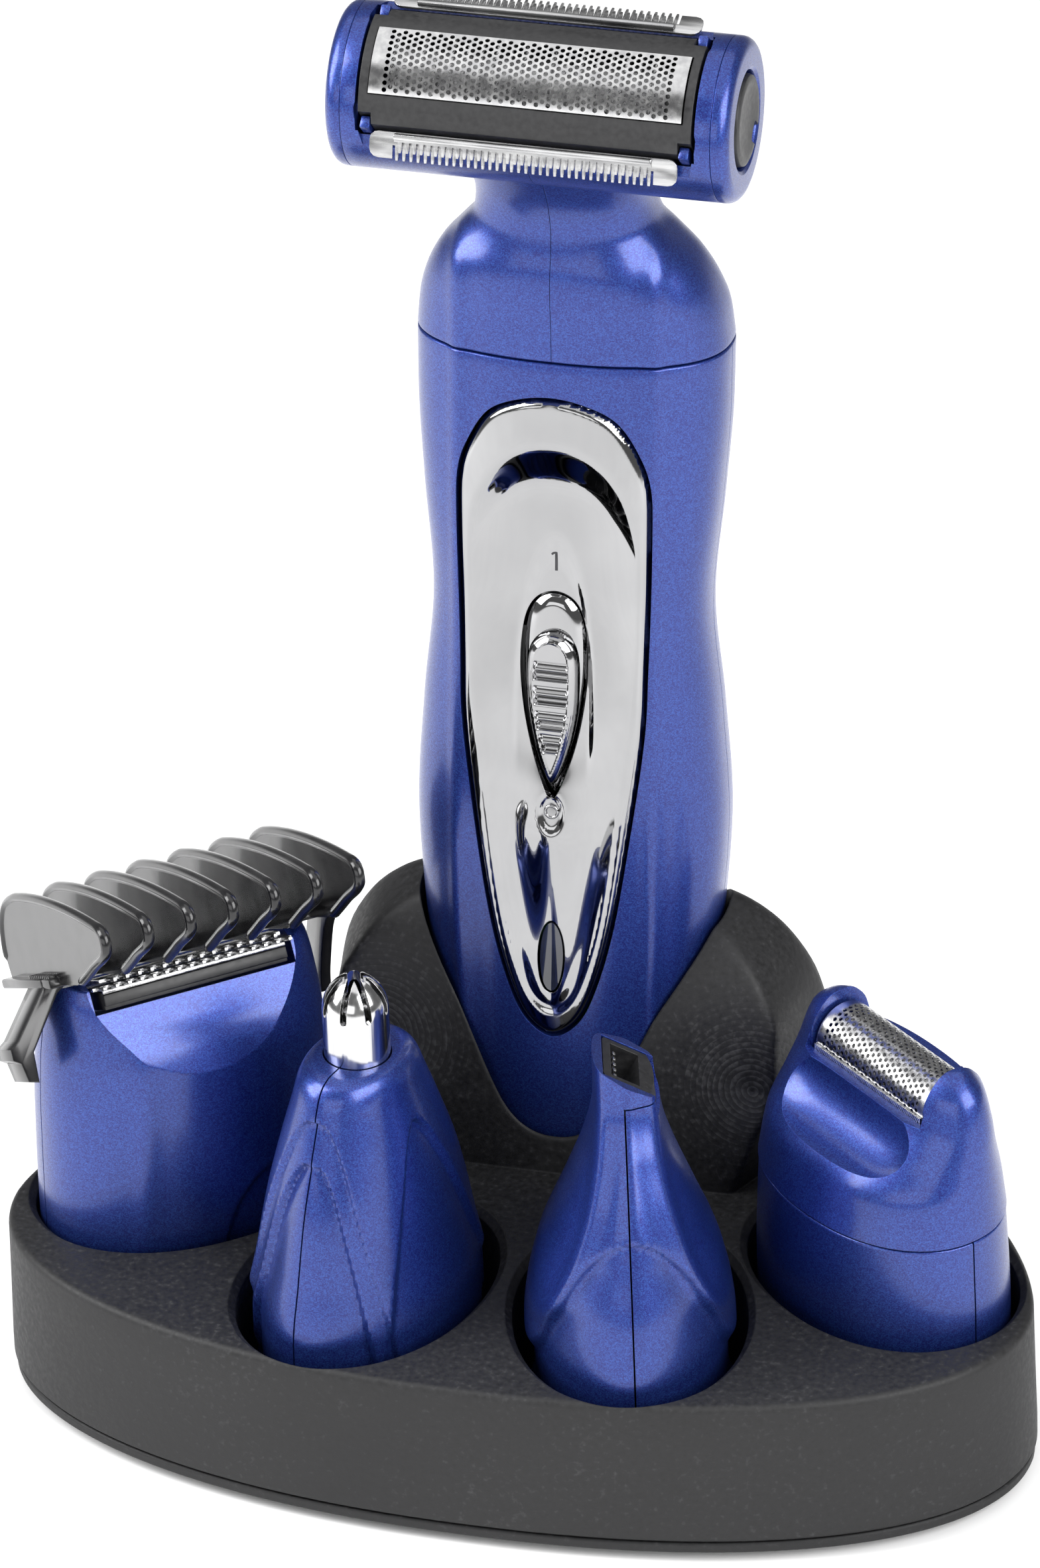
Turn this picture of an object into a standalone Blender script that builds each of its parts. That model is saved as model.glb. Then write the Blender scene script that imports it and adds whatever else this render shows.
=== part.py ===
"""Body groomer kit: a cordless handset with a T-shaped shaving head, standing in a storage
stand, with four more heads (hair clipper with guide comb, nose trimmer, precision trimmer,
mini shaver) in the stand's pockets.

Frame: metres, +Z up, +X to the right seen from the front, the front faces -Y.  The origin is
on the table, under the middle of the stand.  Sizes below are in millimetres and MM turns
them into metres where a mesh is made.
"""
import math

import bmesh
import bpy
from mathutils import Matrix, Vector

MM = 0.001
GAP = 0.3                    # clearance between neighbouring pieces

# ---------------------------------------------------------------- driving dimensions (mm)
STAND_HALF_WIDTH = 65.5
STAND_WIDEST_Y = -11.2
STAND_FRONT_DEPTH = 30.8
STAND_BACK_DEPTH = 53.2
STAND_HEIGHT = 23.05
STAND_DRAFT = 0.55
STAND_WALL = 2.6
PAD_TOP = 1.2                # non-slip pad
COVER_LOW, COVER_HIGH = 1.5, 2.9
BODY_LOW = 3.2
STAND_SCREWS = ((-30, 16), (30, 16), (-31, -31), (31, -31))

POCKET_A, POCKET_B = 19.6, 14.5
POCKET_POWER = 2.1
POCKET_FLOOR = 5.6
HEAD_BASE = 6.2              # where an attachment's lower rim rests
OUTER_X, OUTER_Y, OUTER_TURN = 44.7, -3.95, 39.5
INNER_X, INNER_Y, INNER_TURN = 16.7, -20.3, 73.6

LEAN = math.radians(6.8)     # the handset leans back
HANDSET_Y = 14.1
HANDSET_WALL = 1.8
HANDSET_SEAM = 132.8
SOCKET_GAP = 0.7

# Sections of the handset: height, half width, half depth, shift towards the front.
HANDSET_STATIONS = [
    (17.4, 4.2, 3.2, 0), (18.3, 7.6, 5.6, 0), (20.6, 10.2, 7.6, 0), (24.5, 12.2, 9.0, 0),
    (32, 14.7, 10.5, 0), (42, 16.7, 11.6, 0), (55, 18.7, 12.3, 0), (69.6, 19.6, 12.6, 0),
    (84, 18.7, 12.2, 0.4), (98.4, 17.4, 11.6, 0.8), (113, 18.6, 11.9, 0.5),
    (125, 19.4, 12.1, 0.1), (HANDSET_SEAM - 0.15, 19.5, 12.1, 0)]
# Sections of the shaving head's dome and neck.
DOME_STATIONS = [
    (HANDSET_SEAM + 0.15, 19.5, 12.1, 0), (137.3, 19.0, 11.9, 0.5), (140.7, 18.0, 11.4, 1.4),
    (144.2, 16.2, 10.6, 2.3), (147.6, 13.3, 9.4, 3.0), (150, 11.4, 8.6, 3.8),
    (154, 10.8, 8.0, 5.8), (158, 11.2, 7.8, 8.6), (163, 12.5, 7.6, 12.0)]
PANEL_OUTLINE = [
    (0, 128), (4.2, 127.3), (7.8, 125.4), (10.3, 121.5), (11.8, 117), (12, 110), (11.6, 93),
    (11.3, 84), (9.8, 71.5), (7.8, 58.3), (5.6, 49.5), (3.3, 44.4), (0, 42.2)]
SLOT_OUTLINE = [
    (0, 101.8), (2.2, 101), (3.6, 98.8), (4.2, 95), (4.2, 90), (3.4, 84), (1.9, 78.4), (0, 74.6)]
BUTTON_TOP, BUTTON_LOW, BUTTON_HALF = 96.9, 76.4, 3.3
LENS_HEIGHT, LENS_HALF_X, LENS_HALF_H = 53.0, 1.7, 4.9
CASING_SCREWS = {40: 8.9, 118: 10.6}   # height: depth of the screw's inner end
INLET_RADIUS = 3.4
BATTERY_RADIUS, BATTERY_LOW, BATTERY_HIGH = 6.6, 34, 84
MOTOR_RADIUS, MOTOR_LOW, MOTOR_HIGH = 7.8, 92, 120
SHAFT_RADIUS = 1.0

BAR_FORWARD, BAR_HEIGHT, BAR_RADIUS = 15.0, 168.0, 10.0
BAR_HALF, BAR_BODY_HALF = 24.7, 22.5
FOIL_ELEVATION = math.radians(40)
FOIL_HALF_X, FOIL_HALF_Y = 18.9, 3.9
FRAME_HALF_X, FRAME_HALF_Y = 20.3, 7.2
TRIMMER_HALF, TRIMMER_TEETH, TRIMMER_PITCH = 18.8, 36, 0.88
TRIMMER_SEAT_Y, TRIMMER_SEAT_Z = 7.75, 6.3
TRIMMER_TILT = math.radians(32)
RELEASE_RADIUS = 5.6
PIVOT_FORWARD, PIVOT_HEIGHT = 5.6, 151.5

CLIPPER_TILT = math.radians(30)
CLIPPER_BLADE_HALF, CLIPPER_TEETH, CLIPPER_PITCH = 13.3, 16, 1.65
COMB_FINS, COMB_PITCH, FIN_THICKNESS = 7, 5.57, 1.2
FIN_OUTLINE = [
    (-17.0, 1.8), (-17.4, 5.5), (-16.0, 9.5), (-12.5, 12.2), (-8.4, 12.8), (21.5, 8.7),
    (22.8, 7.6), (22.6, 6.0), (9.5, 1.8)]

# Sections of the attachments: height, half length, half depth, sideways shift.
CLIPPER_STATIONS = [
    (HEAD_BASE, 18.0, 12.6, 0), (8, 18.9, 13.4, 0), (23, 19.2, 13.5, 0), (38, 19.0, 12.9, 0),
    (46, 18.5, 11.2, 0), (51, 17.9, 9.2, 0), (54.6, 16.6, 7.2, 0)]
NOSE_STATIONS = [
    (HEAD_BASE, 17.6, 12.3, 0), (8, 18.5, 13.1, 0), (23, 18.3, 13.0, 0), (31, 16.6, 11.6, 0),
    (39.4, 14.6, 10.1, 0), (47, 11.9, 8.4, 0), (52, 10.0, 7.1, 0), (55.4, 8.2, 6.0, 0),
    (56.5, 7.0, 5.3, 0)]
PRECISION_STATIONS = [
    (HEAD_BASE, 17.7, 12.3, 0), (8, 18.6, 13.1, 0), (23, 18.5, 13.0, 0), (31, 17.2, 11.7, 0.1),
    (38, 15.2, 9.1, 0.2), (44, 12.8, 6.7, 0.3), (50, 9.8, 4.7, 0.3), (56, 6.8, 3.6, 0.3),
    (62.5, 5.6, 3.4, 0.3)]
COLLAR_STATIONS = [
    (HEAD_BASE, 17.7, 12.3, 0), (8, 18.6, 13.2, 0), (23, 18.7, 13.1, 0), (36.05, 18.4, 12.4, 0)]
CAP_STATIONS = [
    (36.35, 18.4, 12.4, 0), (42, 17.9, 11.2, 0.3), (46, 17.3, 9.0, 1.3), (50, 16.7, 6.7, 2.4),
    (54, 15.4, 5.2, 2.7), (56.4, 12.8, 3.4, 2.7)]
HEAD_WALL = 1.7
NOSE_TUBE_RADIUS, NOSE_TUBE_WALL = 4.1, 0.8
MINI_FOIL_Y, MINI_FOIL_Z = 2.55, 50.5       # centre of the mini foil's arch

# ---------------------------------------------------------------- scene and collections
for old in list(bpy.data.objects):
    bpy.data.objects.remove(old, do_unlink=True)

scene_root = bpy.context.scene.collection
PARTS = bpy.data.collections.new("body_groomer")
CUTTERS = bpy.data.collections.new("cutters")
scene_root.children.link(PARTS)
scene_root.children.link(CUTTERS)


def material(name, color, roughness, metallic=0.0):
    """A Principled material with one colour."""
    made = bpy.data.materials.new(name)
    made.use_nodes = True
    shader = made.node_tree.nodes["Principled BSDF"]
    shader.inputs["Base Color"].default_value = (*color, 1.0)
    shader.inputs["Roughness"].default_value = roughness
    shader.inputs["Metallic"].default_value = metallic
    return made


BLUE = material("blue_paint", (0.03, 0.09, 0.50), 0.32, 0.6)
CHROME = material("chrome", (0.75, 0.75, 0.77), 0.06, 1.0)
STEEL = material("steel", (0.60, 0.60, 0.61), 0.28, 1.0)
BLACK = material("black_plastic", (0.02, 0.02, 0.022), 0.45)
STAND = material("stand_plastic", (0.045, 0.045, 0.05), 0.6)
PAD = material("pad_rubber", (0.03, 0.03, 0.03), 0.85)
WHITE = material("white_plastic", (0.75, 0.75, 0.72), 0.5)
BOARD = material("circuit_board", (0.02, 0.20, 0.07), 0.5)
CELL = material("battery_sleeve", (0.05, 0.35, 0.12), 0.4)
LENS = material("lens", (0.10, 0.12, 0.15), 0.1)
SEAL = material("seal_rubber", (0.02, 0.02, 0.02), 0.8)


def empty(name, parent=None, location=(0, 0, 0), rotation=(0, 0, 0)):
    """A frame that pieces are placed in."""
    made = bpy.data.objects.new(name, None)
    scene_root.objects.link(made)
    made.parent = parent
    made.location = [value * MM for value in location]
    made.rotation_euler = rotation
    return made


def place(name, mesh, look, frame, location=(0, 0, 0), rotation=(0, 0, 0)):
    """Make an object from a mesh: a part if it has a material, otherwise a cutter."""
    made = bpy.data.objects.new(name, mesh)
    if look is None:
        CUTTERS.objects.link(made)
        made.hide_render = True
        made.display_type = "WIRE"
    else:
        PARTS.objects.link(made)
        mesh.materials.append(look)
    made.parent = frame
    made.location = [value * MM for value in location]
    made.rotation_euler = rotation
    return made


def finish_mesh(name, bm):
    """Scale a mesh from millimetres, point its faces out and store it."""
    bmesh.ops.scale(bm, vec=(MM, MM, MM), verts=bm.verts)
    bmesh.ops.recalc_face_normals(bm, faces=bm.faces)
    mesh = bpy.data.meshes.new(name)
    bm.to_mesh(mesh)
    bm.free()
    mesh.shade_smooth()
    mesh.set_sharp_from_angle(angle=math.radians(35))
    return mesh


def block(name, low, high, look=None, frame=None, location=(0, 0, 0), rotation=(0, 0, 0)):
    """A box between two corners."""
    bm = bmesh.new()
    bmesh.ops.create_cube(bm, size=1.0)
    low, high = Vector(low), Vector(high)
    bmesh.ops.scale(bm, vec=high - low, verts=bm.verts)
    bmesh.ops.translate(bm, vec=(low + high) / 2, verts=bm.verts)
    return place(name, finish_mesh(name, bm), look, frame, location, rotation)


def rod(name, radius, low, high, look=None, frame=None, location=(0, 0, 0), rotation=(0, 0, 0),
        segments=24, top_radius=None):
    """A cylinder or cone on the local Z axis between two heights."""
    bm = bmesh.new()
    top = radius if top_radius is None else top_radius
    bmesh.ops.create_cone(bm, cap_ends=True, segments=segments, radius1=radius, radius2=top,
                          depth=high - low)
    bmesh.ops.translate(bm, vec=(0, 0, (low + high) / 2), verts=bm.verts)
    bmesh.ops.rotate(bm, matrix=Matrix.Rotation(math.pi / segments, 3, "Z"), verts=bm.verts)
    return place(name, finish_mesh(name, bm), look, frame, location, rotation)


def oval(half_x, half_y, height, shift=0.0, power=2.4, count=20):
    """Points of a superellipse at one height, none of them on its axes."""
    points = []
    for index in range(count):
        angle = 2 * math.pi * (index + 0.5) / count
        cosine, sine = math.cos(angle), math.sin(angle)
        x = math.copysign(abs(cosine) ** (2 / power), cosine) * half_x
        y = math.copysign(abs(sine) ** (2 / power), sine) * half_y
        points.append((x, y + shift, height))
    return points


def loft(name, rings, look=None, frame=None, location=(0, 0, 0), rotation=(0, 0, 0)):
    """A closed skin through rings of equal point counts, capped at both ends."""
    bm = bmesh.new()
    rows = [[bm.verts.new(point) for point in ring] for ring in rings]
    count = len(rows[0])
    for lower, upper in zip(rows, rows[1:]):
        for index in range(count):
            after = (index + 1) % count
            bm.faces.new((lower[index], lower[after], upper[after], upper[index]))
    bm.faces.new(rows[-1])
    bm.faces.new(list(reversed(rows[0])))
    return place(name, finish_mesh(name, bm), look, frame, location, rotation)


def section_rings(stations, grow=0.0, power=2.4, count=20, low=None, high=None, sign=1.0):
    """Rings of a lofted body; low and high move its first and last section."""
    rings = []
    last = len(stations) - 1
    for index, (height, half_x, half_y, shift) in enumerate(stations):
        if index == 0 and low is not None:
            height = low
        if index == last and high is not None:
            height = high
        rings.append(oval(half_x + grow, half_y + grow, height, sign * shift, power, count))
    return rings


def plate(name, outline, low, high, look=None, frame=None, location=(0, 0, 0),
          rotation=(0, 0, 0)):
    """A flat outline in the local XY plane, extruded from low to high along local Z."""
    curve = bpy.data.curves.new(name, "CURVE")
    curve.dimensions = "2D"
    curve.fill_mode = "BOTH"
    curve.extrude = (high - low) / 2
    spline = curve.splines.new("POLY")
    spline.points.add(len(outline) - 1)
    for point, (x, y) in zip(spline.points, outline):
        point.co = (x, y, 0, 1)
    spline.use_cyclic_u = True
    sketch = bpy.data.objects.new(name + "_sketch", curve)
    scene_root.objects.link(sketch)
    graph = bpy.context.evaluated_depsgraph_get()
    flat = bpy.data.meshes.new_from_object(sketch.evaluated_get(graph))
    bpy.data.objects.remove(sketch)
    bm = bmesh.new()
    bm.from_mesh(flat)
    bpy.data.meshes.remove(flat)
    bmesh.ops.remove_doubles(bm, verts=bm.verts, dist=0.001)
    bmesh.ops.translate(bm, vec=(0, 0, (low + high) / 2), verts=bm.verts)
    return place(name, finish_mesh(name, bm), look, frame, location, rotation)


def tube(name, route, radius, look=None, frame=None):
    """A round bar along a route of points, as a closed mesh."""
    curve = bpy.data.curves.new(name, "CURVE")
    curve.dimensions = "3D"
    curve.bevel_depth = radius
    curve.bevel_resolution = 2
    curve.use_fill_caps = True
    spline = curve.splines.new("POLY")
    spline.points.add(len(route) - 1)
    for point, place_mm in zip(spline.points, route):
        point.co = (*place_mm, 1)
    sketch = bpy.data.objects.new(name + "_sketch", curve)
    scene_root.objects.link(sketch)
    graph = bpy.context.evaluated_depsgraph_get()
    skin = bpy.data.meshes.new_from_object(sketch.evaluated_get(graph))
    bpy.data.objects.remove(sketch)
    bm = bmesh.new()
    bm.from_mesh(skin)
    bpy.data.meshes.remove(skin)
    bmesh.ops.remove_doubles(bm, verts=bm.verts, dist=0.001)
    return place(name, finish_mesh(name, bm), look, frame)


def turned(name, profile, look=None, frame=None, location=(0, 0, 0), steps=24):
    """A turned piece: a profile of (radius, height) run top to bottom, spun about local Z."""
    bm = bmesh.new()
    points = [bm.verts.new((radius * MM, 0, height * MM)) for radius, height in profile]
    for first, second in zip(points, points[1:]):
        bm.edges.new((first, second))
    mesh = bpy.data.meshes.new(name)
    bm.to_mesh(mesh)
    bm.free()
    made = place(name, mesh, look, frame, location)
    spin = made.modifiers.new("turn", "SCREW")
    spin.steps = steps
    spin.render_steps = steps
    spin.use_merge_vertices = True
    spin.merge_threshold = 0.00001
    spin.use_smooth_shade = True
    return made


def boolean(target, tool, operation):
    """Add one Boolean step to a piece."""
    step = target.modifiers.new(operation.lower(), "BOOLEAN")
    step.operation = operation
    step.solver = "EXACT"
    step.object = tool


def cut(target, *tools):
    """Take cutters away from a piece."""
    for tool in tools:
        boolean(target, tool, "DIFFERENCE")


def join(target, *tools):
    """Add cutters to a piece as solid material."""
    for tool in tools:
        boolean(target, tool, "UNION")


def keep(target, tool):
    """Keep only what lies inside a cutter."""
    boolean(target, tool, "INTERSECT")


def mirrored(half):
    """Both sides of an outline given down its right side, from top to bottom."""
    left = [(-x, y) for x, y in reversed(half) if x > 0]
    return half + left


def half_spaces(name, frame, axis, low, high, reach=60.0, gap=0.15):
    """Two boxes that split a piece on a plane through its frame, leaving gap on each side."""
    tools = []
    for side in (1, -1):
        first = [-reach, -reach, low]
        second = [reach, reach, high]
        if side > 0:
            first[axis] = -gap
        else:
            second[axis] = gap
        tools.append(block(f"{name}_{'low' if side > 0 else 'high'}_side", first, second, None,
                           frame))
    return tools


def comb_outline(half_width, teeth, pitch, root, tip, back, tooth_share=0.5):
    """A blade's outline: a bar from back to root with teeth up to tip."""
    outline = [(half_width, back), (half_width, root)]
    start = (teeth - 1) / 2 * pitch
    half_tooth = pitch * tooth_share / 2
    for index in range(teeth):
        x = start - index * pitch
        outline += [(x + half_tooth, root), (x + half_tooth * 0.6, tip),
                    (x - half_tooth * 0.6, tip), (x - half_tooth, root)]
    outline += [(-half_width, root), (-half_width, back)]
    return outline


# ---------------------------------------------------------------- frames
handset_frame = empty("handset_frame", None, (0, HANDSET_Y, 0), (-LEAN, 0, 0))
bar_frame = empty("bar_frame", handset_frame, (0, -BAR_FORWARD, BAR_HEIGHT),
                  (math.pi / 2 - FOIL_ELEVATION, 0, 0))
pivot_frame = empty("pivot_frame", handset_frame, (0, -PIVOT_FORWARD, PIVOT_HEIGHT))
clipper_frame = empty("clipper_frame", None, (-OUTER_X, OUTER_Y, 0),
                      (0, 0, math.radians(OUTER_TURN - 180)))
blade_frame = empty("blade_frame", clipper_frame, (0, 4.0, 57.2), (CLIPPER_TILT, 0, 0))
nose_frame = empty("nose_frame", None, (-INNER_X, INNER_Y, 0),
                   (0, 0, math.radians(INNER_TURN - 180)))
precision_frame = empty("precision_frame", None, (INNER_X, INNER_Y, 0),
                        (0, 0, math.radians(-INNER_TURN)))
tip_frame = empty("tip_frame", precision_frame, (0, 0.3, 59.3), (math.radians(-29.5), 0, 0))
mini_frame = empty("mini_frame", None, (OUTER_X, OUTER_Y, 0),
                   (0, 0, math.radians(-OUTER_TURN)))
ACROSS = (math.pi / 2, 0, 0)              # local (x, height, towards the front)
SIDEWAYS = (math.pi / 2, 0, math.pi / 2)  # local (y, z, along x)
ALONG_X = (0, math.pi / 2, 0)             # local Z lies along +X


# ---------------------------------------------------------------- stand
def stand_outline(inset, height, count=56):
    """The stand's plan: two half superellipses that meet on its widest line."""
    points = []
    for index in range(count):
        angle = 2 * math.pi * (index + 0.5) / count
        cosine, sine = math.cos(angle), math.sin(angle)
        depth, power = (STAND_BACK_DEPTH, 1.62) if sine > 0 else (STAND_FRONT_DEPTH, 2.16)
        x = math.copysign(abs(cosine) ** (2 / power), cosine) * (STAND_HALF_WIDTH - inset)
        y = math.copysign(abs(sine) ** (2 / power), sine) * (depth - inset)
        points.append((x, STAND_WIDEST_Y + y, height))
    return points


# Sections of the cradle: height, half width at the front face, greatest half width, front, back.
CRADLE_STATIONS = [
    (20.0, 21, 30.0, 6.3, 36.5), (30, 25.2, 31.5, 7.2, 36.8), (38, 28.4, 31.8, 8.0, 36.0),
    (45, 28.6, 30.6, 9.4, 34.2), (51, 25.4, 27.2, 12.0, 31.5), (55.5, 20.0, 21.6, 15.6, 28.4),
    (58.2, 12.0, 13.2, 19.6, 25.0)]


def cradle_ring(height, front_half, widest, front, back, count=24):
    """One section of the cradle: a flat front and a rounded back."""
    middle = front + 0.55 * (back - front)
    ring = []
    for index in range(count):
        angle = 2 * math.pi * (index + 0.5) / count
        cosine, sine = math.cos(angle), math.sin(angle)
        if sine > 0:
            ring.append((cosine * widest, middle + sine * (back - middle), height))
        else:
            spread = max(abs(cosine), 0.0)
            reach = min(1.0, abs(sine) * 1.9)
            width = widest + (front_half - widest) * reach
            x = math.copysign(min(1.0, spread * (1 + 0.5 * reach)), cosine) * width
            ring.append((x, middle - reach * (middle - front), height))
    return ring


def pocket_cutter(name, frame, grow, low, high):
    """The oval of one pocket as a straight-sided solid."""
    rings = [oval(POCKET_A + grow, POCKET_B + grow, height, 0, POCKET_POWER, 32)
             for height in (low, high)]
    return loft(name, rings, None, frame)


def make_stand():
    """Body with pockets and cradle, bottom cover, non-slip pad and screws."""
    body = loft("stand_body", [stand_outline(0, BODY_LOW), stand_outline(0.1, 6),
                               stand_outline(STAND_DRAFT - 0.1, STAND_HEIGHT - 0.5),
                               stand_outline(STAND_DRAFT + 0.3, STAND_HEIGHT)], STAND)
    cradle = loft("cradle", [cradle_ring(*station) for station in CRADLE_STATIONS])
    join(body, cradle)
    hollow = loft("stand_hollow", [stand_outline(STAND_WALL, BODY_LOW - 2),
                                   stand_outline(STAND_WALL + 0.4, STAND_HEIGHT - STAND_WALL)])
    pockets = {"clipper": clipper_frame, "nose": nose_frame, "precision": precision_frame,
               "mini": mini_frame}
    for name, frame in pockets.items():
        well = pocket_cutter(name + "_well", frame, 1.9, BODY_LOW - 3, STAND_HEIGHT)
        cut(hollow, well)
    socket_well = loft("socket_well", [oval(17, 14, height, HANDSET_Y + 1.6, 2.2, 24)
                                       for height in (BODY_LOW - 3, STAND_HEIGHT)])
    cut(hollow, socket_well)
    cut(body, hollow)
    for name, frame in pockets.items():
        cut(body, pocket_cutter(name + "_pocket", frame, 0, POCKET_FLOOR, STAND_HEIGHT + 4))
    socket = loft("handset_socket", section_rings(HANDSET_STATIONS, SOCKET_GAP, low=16.6,
                                                  sign=-1), None, handset_frame)
    cut(body, socket)
    cover = loft("stand_bottom_cover", [stand_outline(0.4, COVER_LOW),
                                        stand_outline(0.4, COVER_HIGH)], STAND)
    loft("stand_base_pad", [stand_outline(3.0, 0), stand_outline(3.0, PAD_TOP)], PAD)
    for number, (x, y) in enumerate(STAND_SCREWS, 1):
        cut(cover, rod(f"stand_screw_hole_{number}", 1.9, COVER_LOW - 1, COVER_HIGH + 1, None,
                       None, (x, y, 0), segments=12))
        rod(f"stand_screw_{number}", 1.5, PAD_TOP + 0.35, COVER_HIGH, STEEL, None, (x, y, 0),
            segments=12)


# ---------------------------------------------------------------- handset
def make_handset():
    """Casing halves, chrome panel, switch, battery, motor and fittings."""
    cavity = loft("handset_cavity", section_rings(HANDSET_STATIONS, -HANDSET_WALL, low=19.4,
                                                  high=HANDSET_SEAM + 2, sign=-1),
                  None, handset_frame)
    low_side, high_side = half_spaces("handset_split", handset_frame, 1, 0, 150)
    panel_hole = plate("panel_opening", mirrored(PANEL_OUTLINE), 4, 20, None, handset_frame,
                       rotation=ACROSS)
    inlet = rod("inlet_opening", INLET_RADIUS, 14, 24, None, handset_frame, segments=20)
    for name, side in (("handset_front_shell", low_side), ("handset_rear_shell", high_side)):
        shell = loft(name, section_rings(HANDSET_STATIONS, sign=-1), BLUE, handset_frame)
        cut(shell, cavity, side, inlet)
        if name == "handset_front_shell":
            cut(shell, panel_hole)
        else:
            for height in CASING_SCREWS:
                hole = rod(f"casing_screw_hole_{height}", 1.6, 6, 20, None, handset_frame,
                           (0, 0, height), (-math.pi / 2, 0, 0), segments=12)
                cut(shell, hole)

    inner = [(x * (1 - 0.35 / 12), 85 + (y - 85) * (1 - 0.35 / 43)) for x, y in PANEL_OUTLINE]
    panel = loft("handset_chrome_panel", section_rings(HANDSET_STATIONS, 0.35, sign=-1), CHROME,
                 handset_frame)
    keep(panel, plate("panel_blank", mirrored(inner), 5, 18, None, handset_frame,
                      rotation=ACROSS))
    cut(panel, loft("panel_back", section_rings(HANDSET_STATIONS, -1.2, sign=-1), None,
                    handset_frame))
    cut(panel, plate("switch_slot", mirrored(SLOT_OUTLINE), 4, 20, None, handset_frame,
                     rotation=ACROSS))
    lens_ring = [(LENS_HALF_X * math.cos(a), LENS_HEIGHT + LENS_HALF_H * math.sin(a))
                 for a in (2 * math.pi * (i + 0.5) / 16 for i in range(16))]
    cut(panel, plate("lens_opening", lens_ring, 4, 20, None, handset_frame, rotation=ACROSS))
    lens = [(x * 0.78, LENS_HEIGHT + (y - LENS_HEIGHT) * 0.92) for x, y in lens_ring]
    plate("handset_led_lens", lens, 10.4, 12.9, LENS, handset_frame, rotation=ACROSS)

    length = BUTTON_TOP - BUTTON_LOW
    button = [(BUTTON_HALF * share, BUTTON_TOP - drop * length)
              for share, drop in ((0.0, 0.0), (0.55, 0.035), (0.92, 0.12), (1.0, 0.3),
                                  (0.9, 0.55), (0.55, 0.82), (0.0, 1.0))]
    pad = plate("power_switch_button", mirrored(button), 9.6, 13.5, CHROME, handset_frame,
                rotation=ACROSS)
    for index in range(5):
        groove = block(f"switch_groove_{index}", (-2.2, 81.5 + 2.6 * index, 12.9),
                       (2.2, 82.7 + 2.6 * index, 15), None, handset_frame, rotation=ACROSS)
        cut(pad, groove)
    block("power_switch_carrier", (-4.6, 77.5, 8.0), (4.6, 96.5, 9.2), BLACK, handset_frame,
          rotation=ACROSS)

    block("handset_circuit_board", (-8, 46, 6.2), (8, 90, 7.4), BOARD, handset_frame,
          rotation=ACROSS)
    rod("handset_battery", BATTERY_RADIUS, BATTERY_LOW, BATTERY_HIGH, CELL, handset_frame,
        (0, 1.8, 0), segments=20)
    turned("handset_motor", [(0, 126.5), (SHAFT_RADIUS, 126.5), (SHAFT_RADIUS, 121.2),
                             (3.0, 121.2), (3.0, MOTOR_HIGH), (MOTOR_RADIUS, MOTOR_HIGH),
                             (MOTOR_RADIUS, MOTOR_LOW), (0, MOTOR_LOW)], STEEL, handset_frame,
           steps=20)
    chassis = loft("handset_motor_mount",
                   [oval(14.6, 8.6, 120.4, 0, 2.4, 20), oval(14.6, 8.6, 122.6, 0, 2.4, 20)],
                   BLACK, handset_frame)
    cut(chassis, rod("motor_boss_hole", 3.5, 119, 124, None, handset_frame, segments=16))
    drive = turned("drive_eccentric", [(0, 133.0), (4.0, 133.0), (4.0, 127.4), (0, 127.4)], WHITE,
                   handset_frame, steps=20)
    join(drive, rod("eccentric_pin", 0.8, 131, 138.6, None, handset_frame, (0.6, 0, 0),
                    segments=12))
    cut(drive, rod("shaft_hole", SHAFT_RADIUS + GAP, 125, 128.6, None, handset_frame,
                   segments=12))
    spigot = loft("handset_spigot",
                  [oval(16.6, 9.4, 128.6, 0, 2.4, 24), oval(16.6, 9.4, 132.4, 0, 2.4, 24),
                   oval(12.6, 7.2, 132.9, 0, 2.4, 24), oval(12.4, 7.0, 137.2, 0, 2.4, 24)],
                  BLACK, handset_frame)
    cut(spigot, rod("spigot_bore", 4.9, 126, 139, None, handset_frame, segments=20))
    turned("handset_seal_ring", [(6.6, 126.6), (6.6, 125.4), (4.8, 125.4), (4.8, 126.6),
                                 (6.6, 126.6)], SEAL, handset_frame, steps=20)
    socket = rod("handset_charging_socket", 3.0, 17.9, 27, BLACK, handset_frame, segments=20)
    cut(socket, rod("plug_bore", 1.6, 16, 25, None, handset_frame, segments=12))
    for number, (height, inner_end) in enumerate(CASING_SCREWS.items(), 1):
        rod(f"handset_screw_{number}", 1.2, inner_end, 11.2, STEEL, handset_frame,
            (0, 0, height), (-math.pi / 2, 0, 0), segments=12)


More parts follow.
